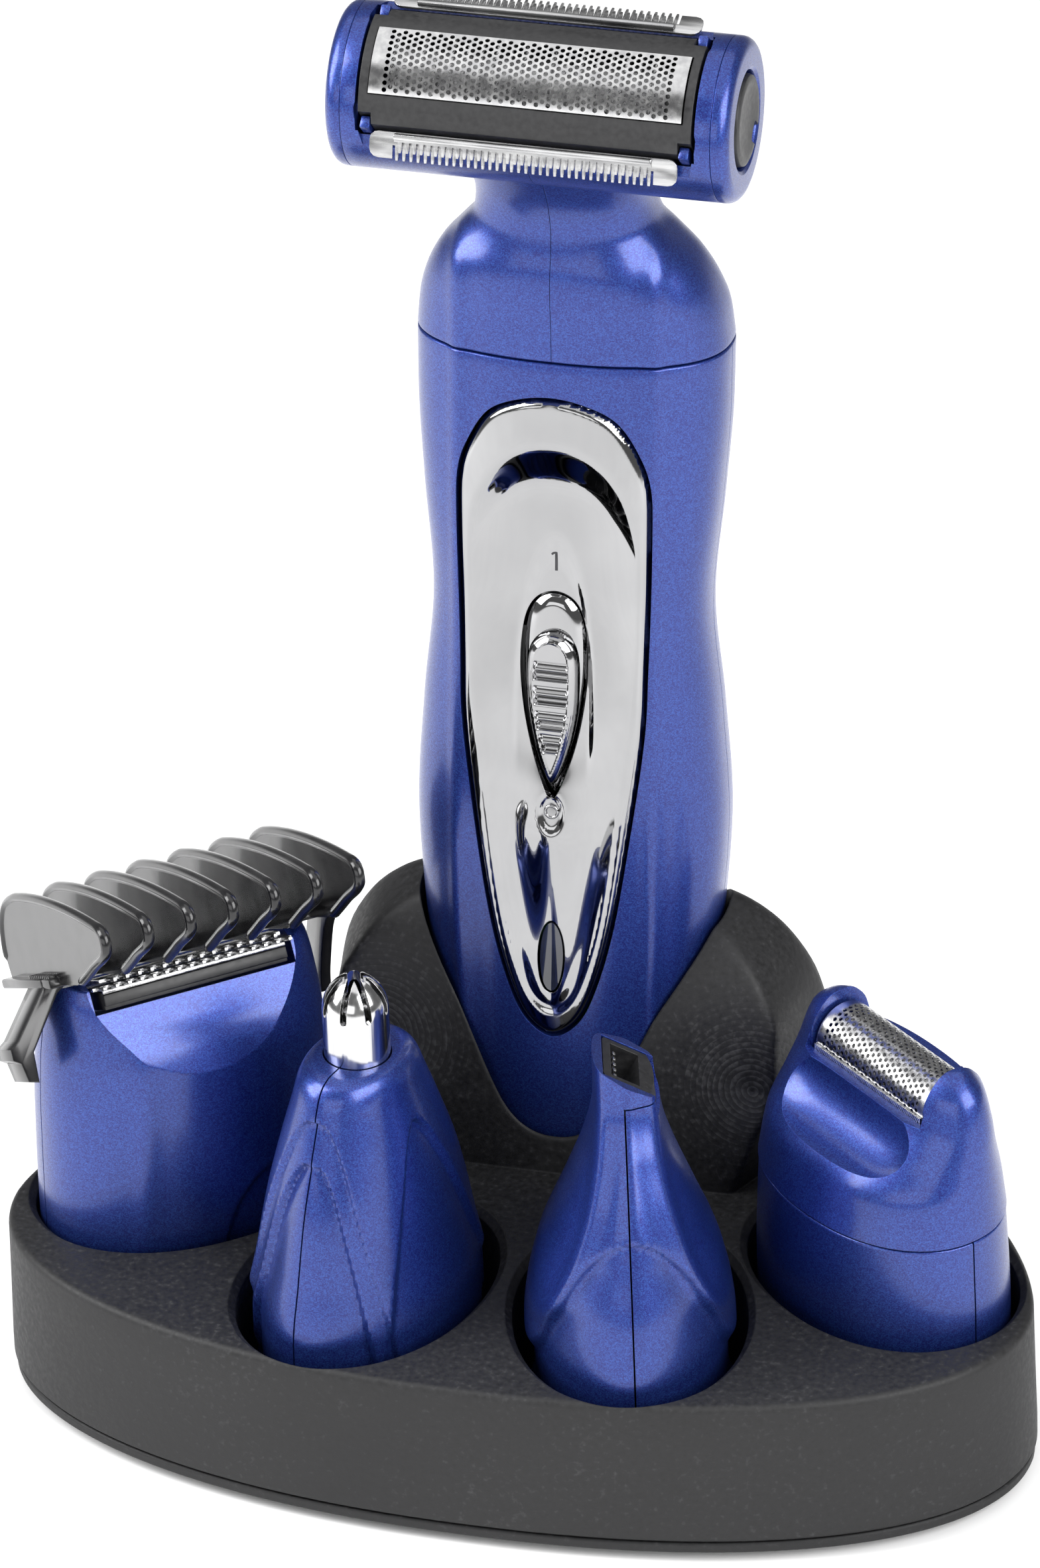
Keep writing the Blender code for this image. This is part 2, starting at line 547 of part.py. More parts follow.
# ---------------------------------------------------------------- shaving head
def make_shaver_head():
    """Neck and T-shaped housing, foil, cutter, two long-hair trimmers and their drive."""
    lever_route = [(0, -0.2, 139), (0, -2.6, 146), (0, -PIVOT_FORWARD, PIVOT_HEIGHT),
                   (0, -11.2, 160), (0, -16.2, 167), (0, -19.2, 171.3)]
    dome_hollow = loft("dome_hollow",
                       section_rings(DOME_STATIONS[:5], -2.0, low=130, high=146, sign=-1),
                       None, handset_frame)
    channel = tube("lever_channel", [(0, 0, 136)] + lever_route[1:5], 4.3, None, handset_frame)
    trough = block("foil_trough", (-20.7, -8.3, -5.2), (20.7, 8.3, 14), None, bar_frame)
    ledges = block("trimmer_ledge", (-20.0, -11, 4.4), (20.0, 11, 14), None, bar_frame)
    split = half_spaces("shaver_split", handset_frame, 0, 120, 190, gap=0.1)
    neck = loft("neck", section_rings(DOME_STATIONS, sign=-1), None, handset_frame)
    for word, side, direction in (("left", split[0], -1), ("right", split[1], 1)):
        name = "shaver_housing_" + word
        half = rod(name, BAR_RADIUS, -BAR_BODY_HALF, BAR_BODY_HALF, BLUE, bar_frame,
                   rotation=ALONG_X, segments=32)
        join(half, neck)
        cut(half, dome_hollow, channel, trough, ledges, side)
        recess = rod(name + "_recess", RELEASE_RADIUS + 0.5, 21.2, 26, None, bar_frame,
                     rotation=(0, direction * math.pi / 2, 0), segments=24)
        cut(half, recess)
    for word, direction in (("left", -1), ("right", 1)):
        turn = (0, direction * math.pi / 2, 0)
        cap = rod(f"shaver_end_cap_{word}", BAR_RADIUS, BAR_BODY_HALF + GAP, BAR_HALF, BLUE,
                  bar_frame, rotation=turn, segments=32, top_radius=BAR_RADIUS - 0.7)
        cut(cap, rod(f"end_cap_hole_{word}", RELEASE_RADIUS + 0.35, 20, 28, None, bar_frame,
                     rotation=turn, segments=24))
        rod(f"release_button_{word}", RELEASE_RADIUS, BAR_BODY_HALF + 0.4, BAR_HALF + 0.4, BLACK,
            bar_frame, rotation=turn, segments=24)

    def arch(radius, half_y, bottom, steps=10):
        """A profile in (y, z): an arch of the given radius over a flat bottom."""
        side = math.asin(half_y / radius)
        angles = [side - 2 * side * index / steps for index in range(steps + 1)]
        top = [(radius * math.sin(a), radius * math.cos(a)) for a in angles]
        return [(half_y, bottom)] + top + [(-half_y, bottom)]

    holder = plate("foil_frame", arch(BAR_RADIUS, FRAME_HALF_Y, 2.4), -FRAME_HALF_X,
                   FRAME_HALF_X, BLACK, bar_frame, rotation=SIDEWAYS)
    cut(holder, block("foil_window", (-FOIL_HALF_X - GAP, -FOIL_HALF_Y - GAP, 0),
                      (FOIL_HALF_X + GAP, FOIL_HALF_Y + GAP, 14), None, bar_frame))
    foil_sheet = plate("shaver_foil", arch(10.2, FOIL_HALF_Y, 8.2), -FOIL_HALF_X, FOIL_HALF_X,
                       STEEL, bar_frame, rotation=SIDEWAYS)
    under_foil = plate("foil_underside", arch(9.85, FOIL_HALF_Y - 0.3, 5), -FOIL_HALF_X - 2,
                       FOIL_HALF_X + 2, None, bar_frame, rotation=SIDEWAYS)
    cut(foil_sheet, under_foil)
    cutter = plate("shaver_cutter", arch(9.5, 3.2, 4.6, 6), -17.4, 17.4, STEEL, bar_frame,
                   rotation=SIDEWAYS)
    for index in range(9):
        x = (index - 4) * 3.8
        cut(cutter, block(f"cutter_slot_{index}", (x - 1.1, -5, 8.2), (x + 1.1, 5, 12), None,
                          bar_frame))
    cut(cutter, block("lever_pocket", (-1.7, -2.4, 3), (1.7, 2.4, 7.4), None, bar_frame))
    chassis = block("shaver_chassis", (-20.2, -6.0, -4.6), (20.2, 6.0, -3.0), BLACK, bar_frame)
    cut(chassis, rod("chassis_opening", 4.8, -8, 0, None, bar_frame, (0, 0, 0), segments=16))
    for word, x in (("left", -17.2), ("right", 17.2)):
        turned(f"foil_spring_{word}", [(1.6, 1.0), (1.6, -2.7), (1.0, -2.7), (1.0, 1.0),
                                       (1.6, 1.0)], STEEL, bar_frame, (x, 5.6, 0), steps=12)

    for word, side, about in (("front", -1, math.pi), ("rear", 1, 0)):
        seat = empty(f"{word}_trimmer_frame", bar_frame,
                     (0, side * TRIMMER_SEAT_Y, TRIMMER_SEAT_Z), (-TRIMMER_TILT, 0, about))
        comb = comb_outline(TRIMMER_HALF, TRIMMER_TEETH, TRIMMER_PITCH, 1.2, 3.0, 0.0, 0.55)
        plate(f"{word}_trimmer_comb", comb, 0.0, 0.35, STEEL, seat)
        blade = comb_outline(TRIMMER_HALF - 1.8, 18, 1.76, 0.9, 2.5, 0.1, 0.5)
        plate(f"{word}_trimmer_blade", blade, -0.9, -0.35, STEEL, seat)

    lever = tube("drive_lever", [tuple(Vector(point) - Vector((0, -PIVOT_FORWARD, PIVOT_HEIGHT)))
                                 for point in lever_route], 1.3, WHITE, pivot_frame)
    hub = rod("lever_hub", 2.4, -2.0, 2.0, None, pivot_frame, rotation=(math.pi / 2, 0, 0),
              segments=16)
    fork = block("lever_fork", (-3.3, -1.7, 137.6 - PIVOT_HEIGHT),
                 (3.3, 1.7, 140.2 - PIVOT_HEIGHT), None, pivot_frame, (0, PIVOT_FORWARD, 0))
    join(lever, hub, fork)
    cut(lever, block("fork_slot", (-2.3, -3, 130 - PIVOT_HEIGHT), (2.3, 3, 139.0 - PIVOT_HEIGHT),
                     None, pivot_frame, (0, PIVOT_FORWARD, 0)))


# ---------------------------------------------------------------- attachments
def shell_pair(prefix, names, stations, frame, extra=(), hollow_sections=None):
    """Two casing halves of an attachment, hollow and open at the bottom."""
    inner = stations[:hollow_sections]
    hollow = loft(prefix + "_hollow", section_rings(inner, -HEAD_WALL, low=HEAD_BASE - 2,
                                                    high=inner[-1][0] - HEAD_WALL),
                  None, frame)
    sides = half_spaces(prefix + "_split", frame, 1, 0, 80)
    shells = []
    for name, side in zip(names, sides):
        shell = loft(name, section_rings(stations, power=2.1), BLUE, frame)
        cut(shell, hollow, side, *extra)
        shells.append(shell)
    return shells


def make_clipper():
    """Hair clipper head: casing halves, blade holder, two blades and the guide comb."""
    notch = block("blade_notch", (-13.9, -6.2, -3.2), (13.9, 14, 9), None, blade_frame)
    slope = block("clipper_rear_slope", (-25, -30, 1.1), (25, -6, 20), None, blade_frame)
    shell_pair("clipper", ("clipper_rear_shell", "clipper_front_shell"), CLIPPER_STATIONS,
               clipper_frame, (notch, slope))
    block("clipper_blade_holder", (-12.2, -4.6, -2.8), (12.2, 1.4, -0.6), BLACK, blade_frame)
    fixed = comb_outline(CLIPPER_BLADE_HALF, CLIPPER_TEETH, CLIPPER_PITCH, 2.0, 4.2, -4.4)
    plate("clipper_fixed_blade", fixed, -0.28, 0.28, STEEL, blade_frame)
    moving = comb_outline(CLIPPER_BLADE_HALF - 1.2, CLIPPER_TEETH - 2, CLIPPER_PITCH, 1.6, 3.7,
                          -2.4)
    plate("clipper_moving_blade", moving, 0.6, 1.15, STEEL, blade_frame)
    comb = block("clipper_guide_comb", (-21.2, -16.6, 1.6), (21.2, -0.6, 2.8), BLACK,
                 blade_frame)
    for index in range(COMB_FINS):
        x = (index - (COMB_FINS - 1) / 2) * COMB_PITCH
        join(comb, plate(f"comb_fin_{index}", FIN_OUTLINE, x - FIN_THICKNESS / 2,
                         x + FIN_THICKNESS / 2, None, blade_frame, rotation=SIDEWAYS))
    arm = [(-9, 2.4), (-14.5, -5.5), (-13, -8.5), (-10.4, -8.7), (-8.2, -5.5), (-1.5, 2.4)]
    for side in (-1, 1):
        low, high = sorted((side * 19.6, side * 21.0))
        join(comb, plate(f"comb_arm_{side + 1}", arm, low, high, None, blade_frame,
                         rotation=SIDEWAYS))


def make_nose_trimmer():
    """Nose and ear trimmer: casing halves, slotted steel guard and its rotor."""
    hole = rod("guard_hole", NOSE_TUBE_RADIUS + GAP, 44, 60, None, nose_frame, segments=24)
    shell_pair("nose", ("nose_left_shell", "nose_right_shell"), NOSE_STATIONS, nose_frame,
               (hole,))
    inside = NOSE_TUBE_RADIUS - NOSE_TUBE_WALL
    guard = turned("nose_guard_tube",
                   [(1.2, 67.3), (2.8, 66.6), (3.8, 65.2), (NOSE_TUBE_RADIUS, 63.4),
                    (NOSE_TUBE_RADIUS, 46), (inside, 46), (inside, 63.2), (2.9, 64.6),
                    (2.0, 65.5), (1.2, 65.8), (1.2, 67.3)], STEEL, nose_frame)
    for index in range(4):
        cut(guard, block(f"guard_slot_{index}", (-0.42, -6, 63.0), (0.42, 6, 66.9), None,
                         nose_frame, rotation=(0, 0, math.pi / 4 * index + 0.2)))
    rotor = turned("nose_rotor", [(0, 64.0), (1.0, 64.0), (1.0, 40), (0, 40)], STEEL, nose_frame,
                   steps=12)
    join(rotor, block("rotor_blade", (-2.5, -0.5, 58.2), (2.5, 0.5, 63.6), None, nose_frame))


def make_precision_trimmer():
    """Precision trimmer: casing halves, dark tip insert and its small blade."""
    top = block("tip_plane", (-12, -12, 0), (12, 12, 20), None, tip_frame)
    seat = block("insert_seat", (-4.4, -2.6, -6.3), (4.4, 8, 6), None, tip_frame)
    shell_pair("precision", ("precision_left_shell", "precision_right_shell"),
               PRECISION_STATIONS, precision_frame, (top, seat), -2)
    insert = block("precision_tip_insert", (-4.1, -2.3, -5.9), (4.1, 3.3, -0.2), BLACK,
                   tip_frame)
    cut(insert, block("insert_window", (-3.4, -1.5, -4.6), (3.4, 2.1, 4), None, tip_frame))
    comb = comb_outline(2.9, 5, 1.2, 0.9, 1.9, 0.0)
    plate("precision_blade", comb, -0.2, 0.2, STEEL, tip_frame, (0, -1.1, -3.9), ACROSS)


def make_mini_shaver():
    """Mini shaver: cap with two horns, split collar, arched foil and its cutter."""
    hollow = loft("mini_hollow", section_rings(CAP_STATIONS[:4], -HEAD_WALL, low=34, high=47.8),
                  None, mini_frame)
    cap = loft("mini_shaver_cap", section_rings(CAP_STATIONS, power=2.1), BLUE, mini_frame)
    trough = block("mini_trough", (-11.2, -2.1, 49.4), (11.2, 7.2, 62), None, mini_frame)
    cut(cap, hollow, trough)
    shell_pair("mini", ("mini_collar_left", "mini_collar_right"), COLLAR_STATIONS, mini_frame,
               (rod("collar_bore", 9.5, 30, 40, None, mini_frame, segments=24),))
    steps = 10

    def half_oval(half_y, half_z):
        """The upper half of an oval about the foil's centre line."""
        return [(MINI_FOIL_Y + half_y * math.cos(math.pi * index / steps),
                 MINI_FOIL_Z + half_z * math.sin(math.pi * index / steps))
                for index in range(steps + 1)]

    plate("mini_foil", [(6.85, 49.8)] + half_oval(4.3, 4.5) + [(-1.75, 49.8), (-1.4, 49.8)]
          + half_oval(3.95, 4.15)[::-1] + [(6.5, 49.8)], -10.6, 10.6, STEEL, mini_frame,
          rotation=SIDEWAYS)
    core = half_oval(3.4, 3.6)
    blade = plate("mini_cutter", core, -9.2, 9.2, STEEL, mini_frame, rotation=SIDEWAYS)
    for index in range(5):
        x = (index - 2) * 3.4
        cut(blade, block(f"mini_slot_{index}", (x - 1.0, -3, 52.4), (x + 1.0, 8, 56), None,
                         mini_frame))


make_stand()
make_handset()
make_shaver_head()
make_clipper()
make_nose_trimmer()
make_precision_trimmer()
make_mini_shaver()
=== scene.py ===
import math

import bmesh
import bpy
import numpy as np
from mathutils import Matrix, Vector


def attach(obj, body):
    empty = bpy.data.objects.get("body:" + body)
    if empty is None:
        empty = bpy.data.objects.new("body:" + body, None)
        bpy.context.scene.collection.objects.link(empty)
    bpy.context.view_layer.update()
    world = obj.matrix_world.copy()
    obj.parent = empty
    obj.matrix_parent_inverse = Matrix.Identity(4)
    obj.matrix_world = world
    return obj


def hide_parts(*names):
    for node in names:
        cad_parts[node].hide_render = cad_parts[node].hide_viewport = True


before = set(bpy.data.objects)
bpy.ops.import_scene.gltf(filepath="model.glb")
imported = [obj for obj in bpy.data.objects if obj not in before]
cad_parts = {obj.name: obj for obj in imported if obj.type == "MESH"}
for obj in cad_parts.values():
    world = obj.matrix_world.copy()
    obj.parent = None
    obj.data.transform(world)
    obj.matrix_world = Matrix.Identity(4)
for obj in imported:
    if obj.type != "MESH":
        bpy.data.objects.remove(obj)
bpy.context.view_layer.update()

MM = 0.001
scene = bpy.context.scene


# ---------------------------------------------------------------- frames (mm)
def shift(x, y, z):
    return Matrix.Translation((x, y, z))


def turn(degrees, axis):
    return Matrix.Rotation(math.radians(degrees), 4, axis)


WORLD = Matrix.Identity(4)
HANDSET = shift(0, 14.1, 0) @ turn(-6.8, "X")
BAR = HANDSET @ shift(0, -15, 168) @ turn(50, "X")
CLIPPER = shift(-44.7, -3.95, 0) @ turn(-140.5, "Z")
BLADES = CLIPPER @ shift(0, 4.0, 57.2) @ turn(30, "X")
NOSE = shift(-16.7, -20.3, 0) @ turn(-106.4, "Z")
PRECISION = shift(16.7, -20.3, 0) @ turn(-73.6, "Z")
TIP = PRECISION @ shift(0, 0.3, 59.3) @ turn(-29.5, "X")
MINI = shift(44.7, -3.95, 0) @ turn(-39.5, "Z")
TRIMMERS = {"rear": BAR @ shift(0, 7.75, 6.3) @ turn(-32, "X"),
            "front": BAR @ shift(0, -7.75, 6.3) @ turn(180, "Z") @ turn(-32, "X")}
ACROSS = turn(90, "X")                      # local (x, height, towards the front)
SIDEWAYS = turn(90, "Z") @ turn(90, "X")    # local (y, z, along x)
ALONG_X = turn(90, "Y")                     # local Z lies along +X
FACE = HANDSET @ ACROSS                     # the handle seen from the front
HEADS = (CLIPPER, NOSE, PRECISION, MINI)

# ---------------------------------------------------------------- sections shared with the CAD
# Stations are (height, half width, half depth, shift); outlines are one half, (x, height).
STAND_TOP = 23.05
STAND_POCKET_FLOOR = 5.6
HANDLE_POWER, HEAD_POWER = 2.4, 2.1       # superellipse powers of the handle and of the heads
HANDSET_SEAM = 132.8
HANDSET_STATIONS = [
    (17.4, 4.2, 3.2, 0), (18.3, 7.6, 5.6, 0), (20.6, 10.2, 7.6, 0), (24.5, 12.2, 9.0, 0),
    (32, 14.7, 10.5, 0), (42, 16.7, 11.6, 0), (55, 18.7, 12.3, 0), (69.6, 19.6, 12.6, 0),
    (84, 18.7, 12.2, 0.4), (98.4, 17.4, 11.6, 0.8), (113, 18.6, 11.9, 0.5),
    (125, 19.4, 12.1, 0.1), (HANDSET_SEAM - 0.1, 19.5, 12.1, 0)]
DOME_STATIONS = [
    (HANDSET_SEAM + 0.1, 19.5, 12.1, 0), (137.3, 19.0, 11.9, 0.5), (140.7, 18.0, 11.4, 1.4),
    (144.2, 16.2, 10.6, 2.3), (147.6, 13.3, 9.4, 3.0), (150, 11.4, 8.6, 3.8),
    (154, 10.8, 8.0, 5.8), (158, 11.2, 7.8, 8.6), (163, 12.5, 7.6, 12.0)]
PANEL_OUTLINE = [
    (0, 128), (4.2, 127.3), (7.8, 125.4), (10.3, 121.5), (11.8, 117), (12, 110), (11.6, 93),
    (11.3, 84), (9.8, 71.5), (7.8, 58.3), (5.6, 49.5), (3.3, 44.4), (0, 42.2)]
SCOOP_OUTLINE = [
    (0, 121.8), (4, 121), (7.4, 118.6), (9.6, 114.4), (10.5, 108), (10.3, 93), (9.9, 84),
    (8.3, 71.5), (6.3, 58.3), (4.2, 50.5), (2.3, 46.6), (0, 45.2)]
SLOT_OUTLINE = [
    (0, 101.8), (2.2, 101), (3.6, 98.8), (4.2, 95), (4.2, 90), (3.4, 84), (1.9, 78.4), (0, 74.6)]
PAD_OUTLINE = [
    (0, 96.9), (1.8, 96.2), (3.0, 94.4), (3.3, 90.8), (3.0, 85.6), (1.8, 80.1), (0, 76.4)]
HEAD_BASE = 6.2
BAR_RADIUS, FOIL_RADIUS, TRIM_PITCH = 10, 10.15, 0.88
COMB_PITCH, BLADE_PITCH = 5.57, 1.65
CLIPPER_STATIONS = [
    (HEAD_BASE, 18.0, 12.6, 0), (8, 18.9, 13.4, 0), (23, 19.2, 13.5, 0), (38, 19.0, 13.0, 0),
    (46, 18.6, 12.2, 0), (51, 18.0, 11.0, 0), (55.5, 17.2, 9.6, 0), (57.6, 16.3, 8.6, 0)]
NOSE_STATIONS = [
    (HEAD_BASE, 17.6, 12.3, 0), (8, 18.5, 13.1, 0), (23, 18.3, 13.0, 0), (31, 16.6, 11.6, 0),
    (39.4, 14.6, 10.1, 0), (47, 11.9, 8.4, 0), (52, 10.0, 7.1, 0), (54.6, 8.9, 6.5, 0),
    (55.8, 7.9, 5.9, 0), (56.4, 6.6, 5.2, 0)]
PRECISION_STATIONS = [
    (HEAD_BASE, 17.7, 12.3, 0), (8, 18.6, 13.1, 0), (23, 18.5, 13.0, 0), (31, 17.2, 11.7, 0.1),
    (38, 15.2, 9.1, 0.2), (44, 12.8, 6.7, 0.3), (50, 9.8, 4.7, 0.3), (56, 6.8, 3.6, 0.3),
    (63.5, 5.5, 3.4, 0.3)]
COLLAR_STATIONS = [
    (HEAD_BASE, 17.7, 12.3, 0), (8, 18.6, 13.2, 0), (23, 18.7, 13.1, 0), (36.1, 18.4, 12.4, 0)]
CAP_STATIONS = [
    (36.35, 18.4, 12.4, 0), (42, 17.9, 11.2, 0.3), (46, 17.3, 9.0, 1.3), (50, 16.7, 6.9, 2.3),
    (54, 15.4, 5.6, 2.6), (56.6, 12.6, 3.6, 2.7)]


# ---------------------------------------------------------------- curves and fields
def through(xs, ys):
    """A smooth function through points that never overshoots them."""
    xs, ys = np.asarray(xs, float), np.asarray(ys, float)
    slopes = np.diff(ys) / np.diff(xs)
    tangents = np.concatenate([slopes[:1], np.zeros(len(slopes) - 1), slopes[-1:]])
    before, after = slopes[:-1], slopes[1:]
    same = before * after > 0
    tangents[1:-1][same] = 2 * before[same] * after[same] / (before + after)[same]

    def curve(at):
        at = np.clip(at, xs[0], xs[-1])
        index = np.clip(np.searchsorted(xs, at) - 1, 0, len(xs) - 2)
        span = xs[index + 1] - xs[index]
        t = (at - xs[index]) / span
        rise = ys[index] * (2 * t ** 3 - 3 * t ** 2 + 1) + ys[index + 1] * (3 * t ** 2 - 2 * t ** 3)
        lean = tangents[index] * (t ** 3 - 2 * t ** 2 + t) + tangents[index + 1] * (t ** 3 - t ** 2)
        return rise + span * lean

    return curve


def sections(stations):
    """Smooth half width, half depth and shift of a lofted body over its height."""
    table = np.array(stations, float)
    return [through(table[:, 0], table[:, column]) for column in (1, 2, 3)]


def smoothstep(value):
    value = np.clip(value, 0, 1)
    return value * value * (3 - 2 * value)


def hump(value, width):
    return np.exp(-(value / width) ** 2)


def mirrored(half):
    """Both sides of an outline given down its right side, from top to bottom."""
    return half + [(-x, y) for x, y in reversed(half) if x > 0]


def rounded(points, steps):
    """A closed smooth outline through control points."""
    knots = np.array(points, float)
    before, after = np.roll(knots, 1, 0), np.roll(knots, -1, 0)
    far = np.roll(knots, -2, 0)
    rows = []
    for t in np.arange(steps) / steps:
        rows.append(0.5 * (2 * knots + (after - before) * t
                           + (2 * before - 5 * knots + 4 * after - far) * t ** 2
                           + (3 * knots - before - 3 * after + far) * t ** 3))
    return np.stack(rows, 1).reshape(-1, 2)


def arc(x, y, half_x, half_y, angles):
    """Points on an oval about (x, y)."""
    return [(x + half_x * math.cos(a), y + half_y * math.sin(a)) for a in angles]


def inside_distance(x, y, outline):
    """How far points lie inside a closed outline; negative outside."""
    points = np.stack([x.ravel(), y.ravel()], 1)
    nearest = np.full(len(points), 1e9)
    crossings = np.zeros(len(points), int)
    for first, second in zip(outline, np.roll(outline, -1, 0)):
        edge = second - first
        along = np.clip(((points - first) @ edge) / max(edge @ edge, 1e-12), 0, 1)
        gap = points - first - along[:, None] * edge
        nearest = np.minimum(nearest, np.einsum("ij,ij->i", gap, gap))
        spans = (first[1] > points[:, 1]) != (second[1] > points[:, 1])
        rise = second[1] - first[1] if second[1] != first[1] else 1e-12
        crossings += spans & (points[:, 0] < first[0] + (points[:, 1] - first[1]) * edge[0] / rise)
    sign = np.where(crossings % 2 == 1, 1.0, -1.0)
    return (sign * np.sqrt(nearest)).reshape(x.shape)


def circle(count):
    """Cosines and sines of points round a circle, none of them on an axis."""
    angle = 2 * np.pi * (np.arange(count) + 0.5) / count
    return np.cos(angle), np.sin(angle)


def oval(half_x, half_y, power, cosine, sine):
    """Points on a superellipse."""
    reach = (np.abs(cosine / half_x) ** power + np.abs(sine / half_y) ** power) ** (-1 / power)
    return reach * cosine, reach * sine


# ---------------------------------------------------------------- mesh making
def added(name, data):
    """A new object in the scene."""
    made = bpy.data.objects.new(name, data)
    scene.collection.objects.link(made)
    return made


def stored(name, bm):
    mesh = bpy.data.meshes.new(name)
    bm.to_mesh(mesh)
    bm.free()
    return added(name, mesh)


def from_bmesh(name, bm, place=WORLD):
    """A mesh drawn in millimetres, as an object in the row frame."""
    bmesh.ops.recalc_face_normals(bm, faces=bm.faces)
    made = stored(name, bm)
    made.data.transform(Matrix.Scale(MM, 4) @ place)
    return made


def skin(name, rings, place=WORLD):
    """A skin through rings of equal point counts."""
    rings = np.asarray(rings, float)
    count = rings.shape[1]
    bm = bmesh.new()
    verts = [bm.verts.new(point) for point in rings.reshape(-1, 3)]
    for row in range(len(rings) - 1):
        for index in range(count):
            after = (index + 1) % count
            bm.faces.new((verts[row * count + index], verts[row * count + after],
                          verts[(row + 1) * count + after], verts[(row + 1) * count + index]))
    bm.faces.new(verts[-count:])
    bm.faces.new(verts[:count][::-1])
    return from_bmesh(name, bm, place)


def body_rings(stations, step=1.0, count=160, power=HANDLE_POWER, grow=0.0, edge=0.3, sign=1.0,
               relief=None, low=None, high=None, low_edge=True):
    """Rings of a lofted body with rounded rims; relief(x, y, height) pushes out."""
    half_x, half_y, move = sections(stations)
    low = stations[0][0] if low is None else low
    high = stations[-1][0] if high is None else high
    heights = np.linspace(low, high, max(3, int((high - low) / step)))
    rim = [(edge * (1 - math.cos(a)), edge * (1 - math.sin(a)))
           for a in np.radians((0, 22, 45, 68, 90))]
    levels = [(low + drop, inward) for inward, drop in rim[::-1]] if low_edge else [(low, 0.0)]
    levels += [(h, 0.0) for h in heights[1:-1] if low + edge < h < high - edge]
    levels += [(high - drop, inward) for inward, drop in rim]
    cosine, sine = circle(count)
    rings = []
    for height, inward in levels:
        a = float(half_x(height)) + grow - inward
        b = float(half_y(height)) + grow - inward
        x, y = oval(a, b, power, cosine, sine)
        if relief is not None:
            push = relief(x, y, height)
            x, y = x + push * cosine, y + push * sine
        rings.append(np.stack([x, y + sign * float(move(height)), np.full(count, height)], 1))
    return rings


def prism(name, outline, low, high, place=WORLD, bevel=0.0):
    """A flat outline in the local XY plane from low to high, its rims rounded."""
    bm = bmesh.new()
    base = [bm.verts.new((x, y, low)) for x, y in outline]
    face = bm.faces.new(base)
    raised = bmesh.ops.extrude_face_region(bm, geom=[face])["geom"]
    moved = [item for item in raised if isinstance(item, bmesh.types.BMVert)]
    bmesh.ops.translate(bm, vec=(0, 0, high - low), verts=moved)
    if bevel:
        rims = [edge for edge in bm.edges
                if abs(edge.verts[0].co.z - edge.verts[1].co.z) < 1e-6]
        bmesh.ops.bevel(bm, geom=rims, offset=bevel, segments=2, profile=0.5, affect="EDGES",
                        clamp_overlap=True)
    return from_bmesh(name, bm, place)


def block(name, low, high, place=WORLD, bevel=0.0):
    """A box between two corners with rounded edges."""
    bm = bmesh.new()
    bmesh.ops.create_cube(bm, size=1.0)
    low, high = Vector(low), Vector(high)
    bmesh.ops.scale(bm, vec=high - low, verts=bm.verts)
    bmesh.ops.translate(bm, vec=(low + high) / 2, verts=bm.verts)
    if bevel:
        bmesh.ops.bevel(bm, geom=bm.edges[:], offset=bevel, segments=2, profile=0.5,
                        affect="EDGES")
    return from_bmesh(name, bm, place)


def turned(name, profile, place, steps=96, closed=False):
    """A turned piece: a profile of (radius, height) spun about local Z."""
    bm = bmesh.new()
    angles = 2 * np.pi * np.arange(steps) / steps
    rows = []
    for radius, height in profile:
        if radius < 1e-6:
            rows.append([bm.verts.new((0, 0, height))] * steps)
        else:
            rows.append([bm.verts.new((radius * math.cos(a), radius * math.sin(a), height))
                         for a in angles])
    for lower, upper in zip(rows, rows[1:] + (rows[:1] if closed else [])):
        for index in range(steps):
            after = (index + 1) % steps
            corners = lower[index], lower[after], upper[after], upper[index]
            bm.faces.new(list(dict.fromkeys(corners)))      # three at the axis
    return from_bmesh(name, bm, place)


def rod(name, radius, low, high, place, steps):
    """A round bar along local Z."""
    return turned(name, [(0, low), (radius, low), (radius, high), (0, high)], place, steps)


def heights_over(name, outline, front, back, step, place=FACE):
    """A plate over an outline, with front(x, y) and back(x, y) giving its two faces."""
    low, high = outline.min(0) - step, outline.max(0) + step
    xs = np.arange(low[0], high[0] + step, step)
    ys = np.arange(low[1], high[1] + step, step)
    x, y = np.meshgrid(xs, ys)
    top, base = front(x, y), back(x, y)
    rows, columns = x.shape
    bm = bmesh.new()
    sheets = [[bm.verts.new(point) for point in np.stack([x.ravel(), y.ravel(), z.ravel()], 1)]
              for z in (top, base)]
    for sheet in sheets:
        for row in range(rows - 1):
            for corner in range(row * columns, row * columns + columns - 1):
                bm.faces.new((sheet[corner], sheet[corner + 1], sheet[corner + columns + 1],
                              sheet[corner + columns]))
    grid = np.arange(rows * columns).reshape(rows, columns)
    rim = [*grid[0], *grid[1:, -1], *grid[-1, -2::-1], *grid[-2:0:-1, 0]]
    for first, second in zip(rim, rim[1:] + rim[:1]):
        bm.faces.new((sheets[0][first], sheets[0][second], sheets[1][second], sheets[1][first]))
    made = from_bmesh(name, bm, place)
    carve(made, prism("outline", outline, -30, 60, place), how="INTERSECT")
    return made


def bake(target):
    """Turn an object's modifiers into its mesh."""
    graph = bpy.context.evaluated_depsgraph_get()
    mesh = bpy.data.meshes.new_from_object(target.evaluated_get(graph))
    old = target.data
    target.modifiers.clear()
    target.data = mesh
    bpy.data.meshes.remove(old)
    return target


def carve(target, *tools, how="DIFFERENCE", spare=False):
    """Boolean steps on a piece; the tools are removed unless spared."""
    for tool in tools:
        step = target.modifiers.new("step", "BOOLEAN")
        step.operation = how
        step.solver = "EXACT"
        step.object = tool
    bake(target)
    if not spare:
        discard(*tools)
    return target


